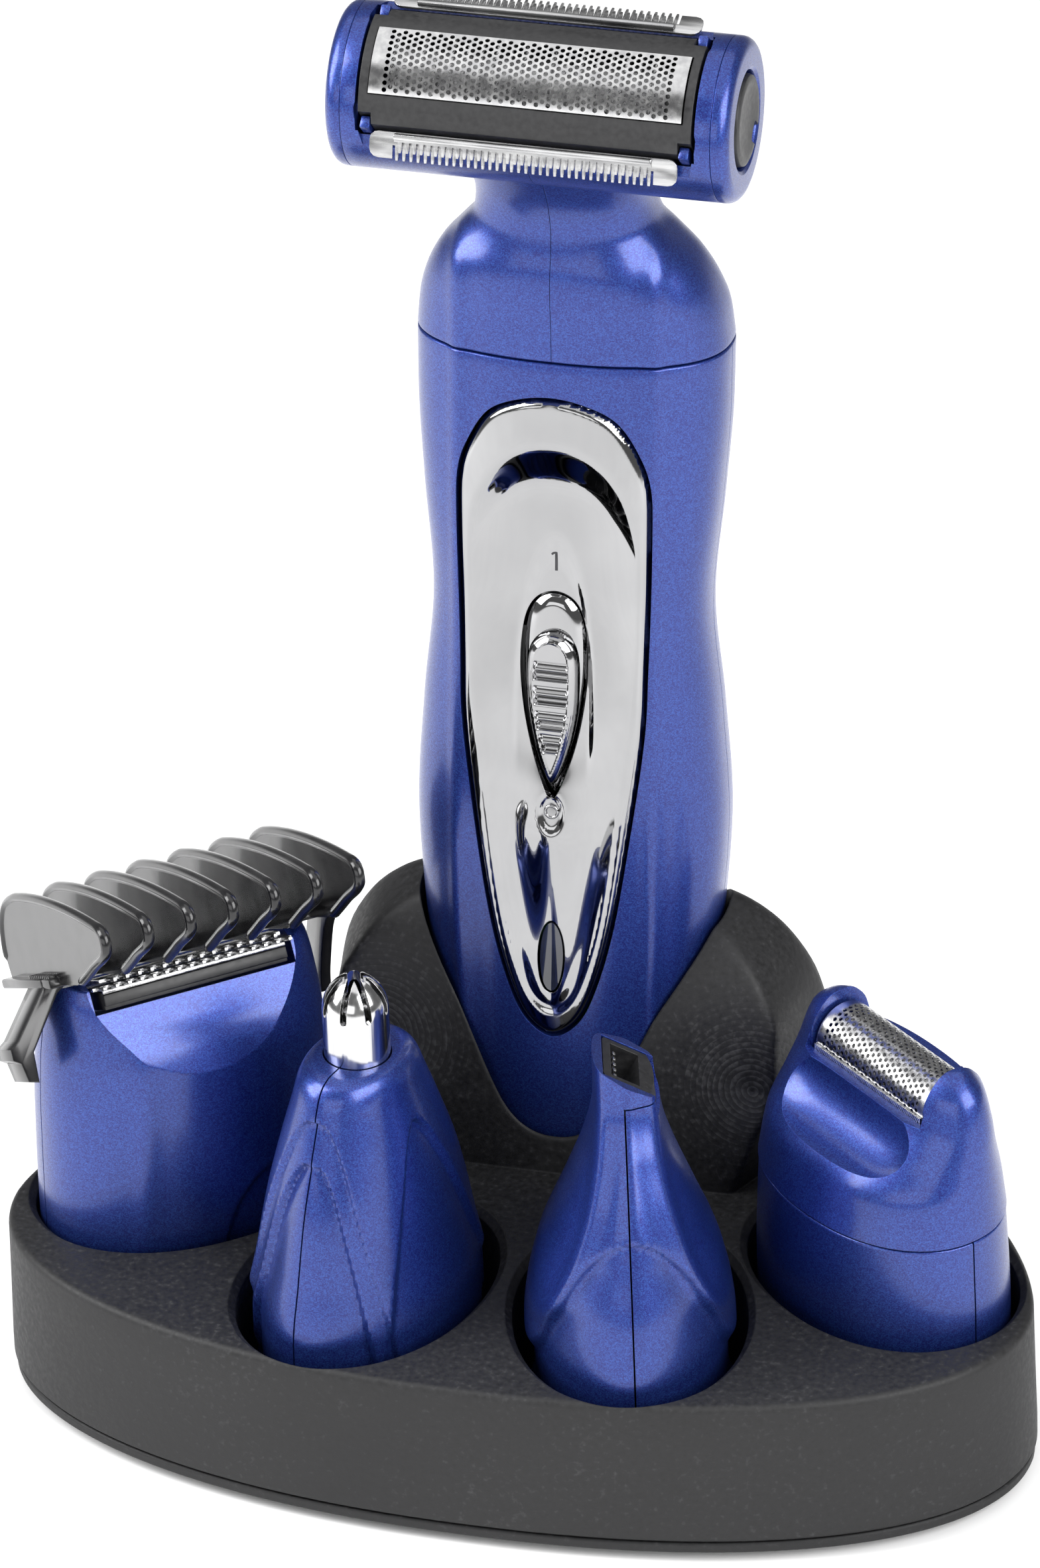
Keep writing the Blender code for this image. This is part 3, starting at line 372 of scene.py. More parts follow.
def discard(*tools):
    for tool in tools:
        mesh = tool.data
        bpy.data.objects.remove(tool)
        bpy.data.meshes.remove(mesh)


def melt(target, voxel, rounds):
    """Blend a piece's joints and corners, as a mould's radii do."""
    step = target.modifiers.new("grid", "REMESH")
    step.mode = "VOXEL"
    step.voxel_size = voxel * MM
    ease = target.modifiers.new("ease", "SMOOTH")
    ease.factor = 0.5
    ease.iterations = rounds
    return bake(target)


def halves(place, axis, gap):
    """Two boxes: the first covers the high side of a plane, the second the low side."""
    boxes = []
    for side in (1, -1):
        low, high = [-90] * 3, [270] * 3
        if side > 0:
            low[axis] = -gap
        else:
            high[axis] = gap
        boxes.append(block("half", low, high, place))
    return boxes


def finish(piece, look, body, node=None, sharp=32):
    """Give a piece its material, shading and body, and hide the CAD node it stands for."""
    mesh = piece.data
    mesh.materials.clear()
    mesh.materials.append(look)
    mesh.shade_smooth()
    mesh.set_sharp_from_angle(angle=math.radians(sharp))
    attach(piece, body)
    if node:
        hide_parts(node)


# ---------------------------------------------------------------- materials
def look(name, metallic, coat, coat_roughness, specular=0.5):
    """A Principled material, its tree, its shader and its object coordinates."""
    made = bpy.data.materials.new(name)
    made.use_nodes = True
    tree = made.node_tree
    shader = tree.nodes["Principled BSDF"]
    for key, value in (("Metallic", metallic), ("Coat Weight", coat),
                       ("Coat Roughness", coat_roughness), ("Specular IOR Level", specular)):
        shader.inputs[key].default_value = value
    coords = tree.nodes.new("ShaderNodeTexCoord").outputs["Object"]
    return made, tree, shader, coords


def add(tree, kind, links=(), values=(), **settings):
    """A shader node with its settings, linked inputs and plain input values."""
    node = tree.nodes.new("ShaderNode" + kind)
    for key, value in settings.items():
        setattr(node, key, value)
    for key, socket in dict(links).items():
        tree.links.new(socket, node.inputs[key])
    for key, value in dict(values).items():
        node.inputs[key].default_value = value
    return node


def vectors(tree, operation, vector, value):
    return add(tree, "VectorMath", {0: vector}, {1: value}, operation=operation).outputs[0]


def noise(tree, coords, scale, detail):
    return add(tree, "TexNoise", {"Vector": coords},
               {"Scale": scale, "Detail": detail}).outputs["Fac"]


def cells(tree, coords, scale, output="Color"):
    return add(tree, "TexVoronoi", {"Vector": coords}, {"Scale": scale}).outputs[output]


def ramp(tree, value, stops):
    """A colour ramp: stops of (position, (r, g, b))."""
    node = add(tree, "ValToRGB", {"Fac": value})
    elements = node.color_ramp.elements
    while len(elements) < len(stops):
        elements.new(0.5)
    for element, (position, color) in zip(elements, stops):
        element.position = position
        element.color = (*color, 1.0)
    return node.outputs["Color"]


def spread(tree, value, low, high, start=0.0, end=1.0):
    """A value moved from start..end to low..high."""
    values = {"From Min": start, "From Max": end, "To Min": low, "To Max": high}
    return add(tree, "MapRange", {"Value": value}, values).outputs["Result"]


def combined(tree, first, second, operation="ADD"):
    return add(tree, "Math", {0: first, 1: second}, operation=operation).outputs[0]


def relieve(tree, shader, height, distance_mm, strength, round_mm):
    """A bump from a height field, over rounded edges where asked."""
    node = add(tree, "Bump", {"Height": height},
               {"Strength": strength, "Distance": distance_mm * MM})
    if round_mm:
        soft = add(tree, "Bevel", values={"Radius": round_mm * MM}, samples=4)
        tree.links.new(soft.outputs["Normal"], node.inputs["Normal"])
    tree.links.new(node.outputs["Normal"], shader.inputs["Normal"])


def drive(tree, shader, **values):
    for key, value in values.items():
        tree.links.new(value, shader.inputs[key.replace("_", " ")])


def paint(name, deep, bright):
    """Metallic paint: fine flakes under a satin clear coat."""
    made, tree, shader, coords = look(name, 0.75, 0.65, 0.2)
    flakes = add(tree, "SeparateColor", {"Color": cells(tree, coords, 8500)})
    cloud = noise(tree, coords, 90, 3)
    between = tuple((a + b) / 2 for a, b in zip(deep, bright))
    drive(tree, shader,
          Base_Color=ramp(tree, flakes.outputs["Red"], [(0.0, deep), (0.6, between),
                                                        (1.0, bright)]),
          Roughness=combined(tree, spread(tree, flakes.outputs["Green"], 0.34, 0.47),
                             spread(tree, cloud, -0.03, 0.03)))
    relieve(tree, shader, flakes.outputs["Blue"], 0.004, 0.3, 0.14)
    return made


def plain(name, dark, light, rough, scale, metallic=0.0, coat=0.0, depth_mm=0.01,
          round_mm=0.0, stretch=(1, 1, 1), specular=0.5):
    """A moulded or machined surface: noise in its colour, roughness and relief."""
    made, tree, shader, coords = look(name, metallic, coat, 0.08, specular)
    grain = noise(tree, vectors(tree, "MULTIPLY", coords, stretch), scale, 4)
    drive(tree, shader, Base_Color=ramp(tree, grain, [(0.35, dark), (0.65, light)]),
          Roughness=spread(tree, grain, rough[0], rough[1], 0.3, 0.7))
    relieve(tree, shader, grain, depth_mm, 0.6, round_mm)
    return made


def stand_look(name, marked):
    """Matt dark plastic with light specks; marked adds the mould's contour marks."""
    made, tree, shader, coords = look(name, 0.0, 0.0, 0.2, 0.35)
    grain = noise(tree, coords, 1400, 6)
    specks = cells(tree, coords, 900, "Distance")
    cloud = noise(tree, coords, 45, 3)
    tone = combined(tree, grain, spread(tree, cloud, -0.1, 0.1))
    height = combined(tree, grain, spread(tree, specks, 0.0, 0.5))
    if marked:
        for centre in ((-0.0225, 0.008, 0.040), (0.0255, 0.008, 0.038)):
            away = vectors(tree, "SUBTRACT", coords, centre)
            wave = add(tree, "TexWave", {"Vector": away},
                       {"Scale": 430, "Distortion": 1.6, "Detail": 2, "Detail Scale": 0.8},
                       wave_type="RINGS", rings_direction="SPHERICAL", wave_profile="SAW")
            reach = add(tree, "VectorMath", {0: away}, operation="LENGTH")
            fade = spread(tree, reach.outputs["Value"], 4.0, 0.0, 0.004, 0.014)
            ring = combined(tree, wave.outputs["Fac"], fade, "MULTIPLY")
            height = combined(tree, height, ring)
            tone = combined(tree, tone, spread(tree, ring, 0.0, 0.32, 0.0, 4.0))
    base = ramp(tree, tone, [(0.3, (0.008, 0.008, 0.0086)), (0.6, (0.014, 0.014, 0.015)),
                             (0.85, (0.042, 0.042, 0.044))])
    drive(tree, shader, Base_Color=base, Roughness=spread(tree, grain, 0.46, 0.66, 0.3, 0.7))
    relieve(tree, shader, height, 0.045, 0.8, 0.35)
    return made


BLUE = paint("blue_paint", (0.010, 0.013, 0.15), (0.027, 0.076, 0.33))
CHROME = plain("chrome_panel", (0.32, 0.32, 0.325), (0.34, 0.34, 0.345), (0.03, 0.045), 120, 1.0,
               depth_mm=0.0004, round_mm=0.1)
STEEL = plain("steel", (0.40, 0.40, 0.41), (0.62, 0.62, 0.62), (0.20, 0.34), 500, 1.0,
              depth_mm=0.006, round_mm=0.05, stretch=(0.3, 3, 3))
TUBE = plain("polished_steel", (0.50, 0.50, 0.51), (0.66, 0.66, 0.66), (0.10, 0.19), 300, 1.0,
             depth_mm=0.003, round_mm=0.08, stretch=(3, 3, 0.2))
FOIL = plain("foil_steel", (0.46, 0.46, 0.47), (0.62, 0.62, 0.62), (0.16, 0.27), 900, 1.0,
             depth_mm=0.004)
SATIN = plain("black_plastic", (0.010, 0.010, 0.011), (0.018, 0.018, 0.019), (0.36, 0.48), 1600,
              depth_mm=0.008, round_mm=0.15)
COMB = plain("comb_plastic", (0.005, 0.005, 0.006), (0.010, 0.010, 0.011), (0.16, 0.26), 260,
             coat=0.25, depth_mm=0.002, round_mm=0.12, specular=0.42)
STAND = stand_look("stand_plastic", True)
BASE = stand_look("stand_cover", False)
PAD = plain("pad_rubber", (0.012, 0.012, 0.012), (0.03, 0.03, 0.03), (0.75, 0.92), 1500,
            depth_mm=0.06)
WHITE = plain("white_plastic", (0.66, 0.66, 0.62), (0.76, 0.76, 0.73), (0.38, 0.52), 700)
BOARD = plain("circuit_board", (0.010, 0.11, 0.035), (0.02, 0.19, 0.07), (0.35, 0.6), 900)
CELL = plain("battery_sleeve", (0.03, 0.24, 0.08), (0.05, 0.36, 0.12), (0.25, 0.42), 300)
MOTOR = plain("motor_steel", (0.40, 0.40, 0.41), (0.58, 0.58, 0.58), (0.24, 0.4), 300, 1.0)
LENS = plain("lens", (0.010, 0.012, 0.020), (0.02, 0.024, 0.04), (0.03, 0.08), 200, coat=1.0,
             depth_mm=0.002)
SEAL = plain("seal_rubber", (0.012, 0.012, 0.012), (0.025, 0.025, 0.025), (0.7, 0.85), 1500)
MARK = plain("mark_print", (0.015, 0.015, 0.018), (0.03, 0.03, 0.034), (0.3, 0.5), 900)
SCREWS = [f"stand_screw_{index}" for index in (1, 2, 3, 4)]
KEPT = {  # the inner CAD nodes that keep their shape
    STEEL: SCREWS + ["handset_screw_1", "handset_screw_2", "foil_spring_left",
                     "foil_spring_right"],
    SATIN: ["handset_motor_mount", "handset_spigot", "handset_charging_socket",
            "power_switch_carrier", "shaver_chassis"],
    WHITE: ["drive_eccentric", "drive_lever"], BOARD: ["handset_circuit_board"],
    CELL: ["handset_battery"], MOTOR: ["handset_motor"], SEAL: ["handset_seal_ring"]}


# ---------------------------------------------------------------- stand
def stand_plan(inset, height, count=288):
    """The stand's plan: two half superellipses that meet on its widest line."""
    cosine, sine = circle(count)
    power = np.where(sine > 0, 1.62, 2.16)
    depth = np.where(sine > 0, 53.2, 30.8) - inset
    x = np.sign(cosine) * np.abs(cosine) ** (2 / power) * (65.5 - inset)
    y = np.sign(sine) * np.abs(sine) ** (2 / power) * depth
    return np.stack([x, y - 11.2, np.full(count, height)], 1)


CRADLE_STATIONS = [  # height, half width in front, widest half width, front, back
    (18.0, 21, 30.0, 6.2, 36.5), (30, 25.2, 31.5, 7.2, 36.8), (38, 28.0, 31.8, 8.0, 36.0),
    (45, 28.2, 30.6, 9.4, 34.2), (51, 25.4, 27.6, 12.0, 31.7), (55.5, 20.0, 22.6, 15.6, 28.8),
    (58.2, 12.6, 14.6, 19.4, 25.4)]


def cradle_section(height, front_half, widest, front, back, count=120):
    """One section of the cradle: a flat front and a rounded back."""
    middle = front + 0.55 * (back - front)
    cosine, sine = circle(count)
    reach = np.minimum(1, np.abs(sine) * 1.9)
    width = widest + (front_half - widest) * reach
    x_front = np.sign(cosine) * np.minimum(1, np.abs(cosine) * (1 + 0.5 * reach)) * width
    y_front = middle - reach * (middle - front)
    x = np.where(sine > 0, cosine * widest, x_front)
    y = np.where(sine > 0, middle + sine * (back - middle), y_front)
    return np.stack([x, y, np.full(count, height)], 1)


def well(name, place, low, half_x=19.6, half_y=14.5, lip=0.9):
    """A pocket's straight oval with a rounded mouth at the stand's top."""
    levels = [(low, 0.0), (STAND_TOP - lip, 0.0)]
    levels += [(STAND_TOP - lip * math.cos(a), lip * (1 - math.cos(a)))
               for a in np.radians((20, 40, 60, 75))]
    levels += [(STAND_TOP + 0.02, lip), (STAND_TOP + 6, lip)]
    rings = []
    for height, grow in levels:
        x, y = oval(half_x + grow, half_y + grow, HEAD_POWER, *circle(144))
        rings.append(np.stack([x, y, np.full(144, height)], 1))
    return skin(name, rings, place)


def slab(name, levels):
    """A solid on the stand's plan: levels of (height, inset)."""
    return skin(name, [stand_plan(inset, height) for height, inset in levels])


def make_stand():
    rim, draft = 0.9, 0.45
    levels = [(3.2, 0.5), (3.7, 0.1), (6, 0.1), (12, 0.25), (18, 0.38), (STAND_TOP - rim, draft)]
    levels += [(STAND_TOP - rim * (1 - math.sin(a)), draft + rim * (1 - math.cos(a)))
               for a in np.radians((22, 45, 68, 90))]
    body = slab("stand_body_shape", levels)
    table = np.array(CRADLE_STATIONS, float)
    curves = [through(table[:, 0], table[:, column]) for column in range(1, 5)]
    heights = np.linspace(18, 58.2, 60)
    cradle = skin("cradle", [cradle_section(h, *(float(c(h)) for c in curves)) for h in heights])
    melt(cradle, 0.55, 12)
    carve(body, cradle, how="UNION")
    hollow = slab("hollow", [(1.0, 2.6), (20.4, 3.0)])
    wells = [well("column", place, 0.0, 21.5, 16.4, lip=0.1) for place in HEADS]
    column = well("column", shift(0, 15.7, 0), 0.0, 17, 14, lip=0.1)
    carve(hollow, *wells, column)
    carve(body, hollow)
    for place in HEADS:
        carve(body, well("pocket", place, STAND_POCKET_FLOOR))
    socket = skin("socket", body_rings(HANDSET_STATIONS, grow=0.7, edge=0.1, sign=-1, low=16.6,
                                       step=1.5), HANDSET)
    carve(body, socket)
    finish(body, STAND, "stand", "stand_body", 28)
    cover = slab("stand_bottom_plate", [(1.5, 0.6), (1.7, 0.4), (2.7, 0.4), (2.9, 0.6)])
    for x, y in ((-30, 16), (30, 16), (-31, -31), (31, -31)):
        carve(cover, rod("hole", 1.9, 0, 4, shift(x, y, 0), 32))
    finish(cover, BASE, "stand", "stand_bottom_cover")
    pad = slab("stand_grip_pad", [(0, 3.3), (0.3, 3.0), (1.0, 3.0), (1.2, 3.2)])
    finish(pad, PAD, "stand", "stand_base_pad")


# ---------------------------------------------------------------- handset
BODY_X, BODY_Y, BODY_SHIFT = sections(HANDSET_STATIONS)


def ridges(x, y, height):
    """Two soft creases down the front, fading out below the panel and over the dome."""
    fade = smoothstep((height - 24) / 14) * smoothstep((152 - height) / 6)
    pinch = 12.2 - 1.6 * smoothstep((60 - height) / 40)
    front = smoothstep(-y / 4)
    return fade * front * 0.42 * hump(np.abs(x) - pinch, 1.15)


def handset_front(x, height):
    """How far forward the handle's front lies."""
    half_x, half_y = BODY_X(height), BODY_Y(height)
    share = np.clip(np.abs(x / half_x), 0, 0.995)
    return BODY_SHIFT(height) + half_y * (1 - share ** HANDLE_POWER) ** (1 / HANDLE_POWER)


def behind(depth):
    """A surface this far behind the handle's front."""
    return lambda x, height: handset_front(x, height) - depth


PANEL, SCOOP, SLOT, PAD_EDGE = (rounded(mirrored(half), 8) for half in (
    PANEL_OUTLINE, SCOOP_OUTLINE, SLOT_OUTLINE, PAD_OUTLINE))
SCOOP_TOP = 121.8


def scaled(outline, inset):
    """An outline drawn in towards its middle by about inset."""
    middle = (outline.max(0) + outline.min(0)) / 2
    half = (outline.max(0) - outline.min(0)) / 2
    return middle + (outline - middle) * (1 - inset / half)


def spine(x, height):
    """The ridge down the middle of the chrome panel's lower part."""
    rise = 1.25 * smoothstep((81 - height) / 13) * smoothstep((height - 43) / 7)
    return rise * hump(x, 3.4)


def softplus(value, width):
    """Zero below nought and equal to value above it, with a soft corner."""
    return width * np.logaddexp(0, value / width)


def panel_front(x, height):
    """The chrome panel: a raised rim round a spoon-like hollow with the switch's arch."""
    edge = inside_distance(x, height, PANEL)
    scoop = inside_distance(x, height, SCOOP)
    rise = 0.35 - 0.95 * (1 - np.clip(edge / 0.7, 0, 1)) ** 2
    shallow = 1.55 * (1 - (1 - np.clip(scoop / 7.5, 0, 1)) ** 2)
    shallow = shallow * (1 + 0.6 * smoothstep((74 - height) / 20))
    below = SCOOP_TOP - height - 0.05 * x ** 2 - 0.00033 * x ** 4
    wall = 0.55 * (softplus(below, 0.25) - softplus(below - 5.3, 0.45))
    wall = wall * (1 - 0.46 * smoothstep((116 - height) / 42))
    wall = wall * (1 - np.clip(np.abs(x) / 10.7, 0, 1) ** 3)
    share = smoothstep((height - 76) / 26)
    arch = 1 - np.hypot(x / 5.4, (height - 84.5) / 25.5)
    step = 0.38 * smoothstep(arch * 5.4 / 1.1) * smoothstep((height - 76) / 8)
    dimple = 1 - np.hypot(x / 1.75, (height - 72.6) / 2.9)
    drop = 0.45 * smoothstep(dimple * 1.75 / 0.7)
    return (handset_front(x, height) + rise - shallow * (1 - share) - wall * share - step - drop
            + spine(x, height) * smoothstep(scoop / 2.0))


def make_handset():
    outer = dict(step=1.5, count=176, edge=0.28, sign=-1, relief=ridges)
    inner = body_rings(HANDSET_STATIONS, 3, 96, grow=-1.8, edge=0.1, sign=-1, low=19.4,
                       high=HANDSET_SEAM + 3)
    rear_side, front_side = halves(HANDSET, 1, 0.06)
    opening = prism("opening", scaled(PANEL, -0.32), 3.5, 25, FACE)
    for name, node, side in (("casing_front", "handset_front_shell", rear_side),
                             ("casing_rear", "handset_rear_shell", front_side)):
        shell = skin(name, body_rings(HANDSET_STATIONS, **outer), HANDSET)
        carve(shell, skin("cavity", inner, HANDSET), rod("inlet", 3.4, 12, 24, HANDSET, 48))
        carve(shell, side, spare=True)
        if name == "casing_front":
            carve(shell, opening)
        else:
            for height in (40, 118):
                place = HANDSET @ shift(0, 0, height) @ turn(-90, "X")
                carve(shell, rod("hole", 1.6, 6, 20, place, 32))
        finish(shell, BLUE, "handset", node)
    discard(rear_side, front_side)

    panel = heights_over("switch_panel", PANEL, panel_front, behind(3.5), 0.3)
    lens_edge = np.array(arc(0, 53, 1.75, 4.9, np.linspace(0, 2 * np.pi, 48, False)))
    carve(panel, prism("slot", SLOT, 3, 20, FACE), prism("window", lens_edge, 3, 20, FACE))
    finish(panel, CHROME, "handset", "handset_chrome_panel", 40)

    def lens_front(x, height):
        return panel_front(x, height) - 0.2 + 0.2 * (1 - (x / 1.5) ** 2)

    lens = heights_over("status_lens", scaled(lens_edge, 0.3), lens_front, behind(3.3), 0.15)
    finish(lens, LENS, "handset", "handset_led_lens")

    bowl_edge = scaled(SLOT, 0.35)

    def bowl_front(x, height):
        edge = inside_distance(x, height, bowl_edge)
        bulge = 1 - (1 - np.clip(edge / 1.5, 0, 1)) ** 2
        return handset_front(x, height) - 2.6 + 0.75 * bulge

    bowl = heights_over("switch_bed", bowl_edge, bowl_front, behind(3.1), 0.2)
    finish(bowl, CHROME, "handset")

    def pad_front(x, height):
        edge = inside_distance(x, height, PAD_EDGE)
        top = handset_front(x, height) - 1.7
        top = top + 1.55 * np.sqrt(1 - (1 - np.clip(edge / 1.0, 0, 1)) ** 2)
        top = top + 0.14 * hump(edge - 0.95, 0.16)
        for middle in (92.0, 88.7, 85.4, 82.3):
            inside = smoothstep((edge - 1.08) / 0.25)
            window = inside * smoothstep((1.3 - np.abs(height - middle)) / 0.3)
            top = top - 0.75 * window + 0.5 * window * hump(height - middle - 0.1, 0.42)
        return top

    pad = heights_over("switch_pad", PAD_EDGE, pad_front, behind(1.78), 0.13)
    finish(pad, CHROME, "power_switch", "power_switch_button", 40)

    one = np.array([(-0.12, 104.5), (0.22, 104.5), (0.22, 107.3), (-0.1, 107.3), (-0.62, 106.75),
                    (-0.5, 106.5), (-0.12, 106.75)])

    def level(height):
        """The panel's front on its middle line."""
        return float(panel_front(np.zeros((1, 1)), np.full((1, 1), height))[0, 0])

    on_height, off_height = 105.9, 72.9
    finish(prism("mark_on", one, level(on_height) - 0.3, level(on_height) + 0.07, FACE, 0.03),
           MARK, "handset")
    ring = arc(0.78, 0, 0.2, 0.2, np.linspace(0, 2 * np.pi, 12, False))
    place = FACE @ shift(0, off_height, level(off_height) + 0.02)
    finish(turned("mark_off", ring, place, 40, closed=True), CHROME, "handset")


# ---------------------------------------------------------------- shaving head
def perforated(name, place, width, height, hole, profile, end_band=1.4):
    """A thin sheet with staggered round holes, bent over profile(s) -> (y, z)."""
    column_step, row_step, thickness = 0.715, 0.825, 0.14
    columns = int((width - 2 * end_band) / column_step)
    rows = int(height / row_step)
    left = -width / 2 + (width - columns * column_step) / 2
    base = -height / 2 + (height - rows * row_step) / 2
    bm = bmesh.new()
    cache = {}

    def vertex(x, s):
        key = (round(x, 4), round(s, 4))
        if key not in cache:
            cache[key] = bm.verts.new((x, s, 0))
        return cache[key]

    def cell(x0, s0, quarters):
        """The points round a cell, one for every quarter of a row on its sides."""
        side = [s0 + row_step * index / 4 for index in range(quarters + 1)]
        middle, x1 = x0 + column_step / 2, x0 + column_step
        return ([(x0, s) for s in side] + [(middle, side[-1])]
                + [(x1, s) for s in side[::-1]] + [(middle, s0)])

    for column in range(columns):
        x0 = left + column * column_step
        middle = x0 + column_step / 2
        odd = column % 2
        for row in range(rows - odd):
            s0 = base + (row_step * row + odd * row_step / 2)
            centre = (s0 + s0 + row_step) / 2
            points = cell(x0, s0, 4)
            outer = [vertex(*point) for point in points]
            inner = []
            for x, s in points:
                a = math.atan2(s - centre, x - middle)
                inner.append(bm.verts.new((middle + hole * math.cos(a),
                                           centre + hole * math.sin(a), 0)))
            for index in range(len(outer)):
                after = (index + 1) % len(outer)
                bm.faces.new((outer[index], outer[after], inner[after], inner[index]))
        if odd:
            for s0 in (base, base + row_step * (rows - 0.5)):
                bm.faces.new([vertex(*point) for point in cell(x0, s0, 2)])
        for far, edge in ((-height / 2, base), (height / 2, base + row_step * rows)):
            bm.faces.new([vertex(x0, edge), vertex(middle, edge), vertex(x0 + column_step, edge),
                          vertex(x0 + column_step, far), vertex(x0, far)])
    ticks = [-height / 2, *(base + row_step * index / 4 for index in range(rows * 4 + 1)),
             height / 2]
    for x0, x1 in ((-width / 2, left), (left + columns * column_step, width / 2)):
        for s0, s1 in zip(ticks, ticks[1:]):
            bm.faces.new([vertex(x0, s0), vertex(x1, s0), vertex(x1, s1), vertex(x0, s1)])
    for vert in bm.verts:
        vert.co = (vert.co.x, *profile(vert.co.y))
    made = from_bmesh(name, bm, place)
    thick = made.modifiers.new("sheet", "SOLIDIFY")
    thick.thickness = thickness * MM
    thick.offset = 0
    return bake(made)


def arch(radius, half_y, bottom, steps):
    """A profile in (y, z): an arch of the given radius over a flat bottom."""
    side = math.asin(half_y / radius)
    angles = [side - 2 * side * index / steps for index in range(steps + 1)]
    top = [(radius * math.sin(a), radius * math.cos(a)) for a in angles]
    return [(half_y, bottom)] + top + [(-half_y, bottom)]


def comb_plate(half_width, teeth, pitch, root, tip, back, half_tooth, point, corner=0.0,
               lug=None):
    """A blade's outline: a bar with rounded ends from back to root, and teeth up to tip.
    lug: how far its solid ends reach beside the teeth."""
    bend = [(corner * (1 - math.cos(a)), corner * (1 - math.sin(a)))
            for a in np.radians((0, 30, 60, 90))] if corner else [(0.0, 0.0)]
    low = root if lug is None else lug
    right = [(half_width - inward, back + rise) for inward, rise in bend[::-1]]
    right += [(half_width - inward, low - drop) for inward, drop in bend]
    start = (teeth - 1) / 2 * pitch
    if lug is not None:
        inner = start + half_tooth + 0.3
        right += [(inner, lug), (inner, root)]
    points = []
    for index in range(teeth):
        x = start - index * pitch
        points += [(x + half_tooth, root), (x + half_tooth * 0.9, tip - 0.5),
                   (x + half_tooth * point, tip), (x - half_tooth * point, tip),
                   (x - half_tooth * 0.9, tip - 0.5), (x - half_tooth, root)]
    return right + points + [(-x, y) for x, y in right[::-1]]


def joined(name, pieces):
    """Several separate closed shapes as one object."""
    bm = bmesh.new()
    for piece in pieces:
        bm.from_mesh(piece.data)
    discard(*pieces)
    return stored(name, bm)


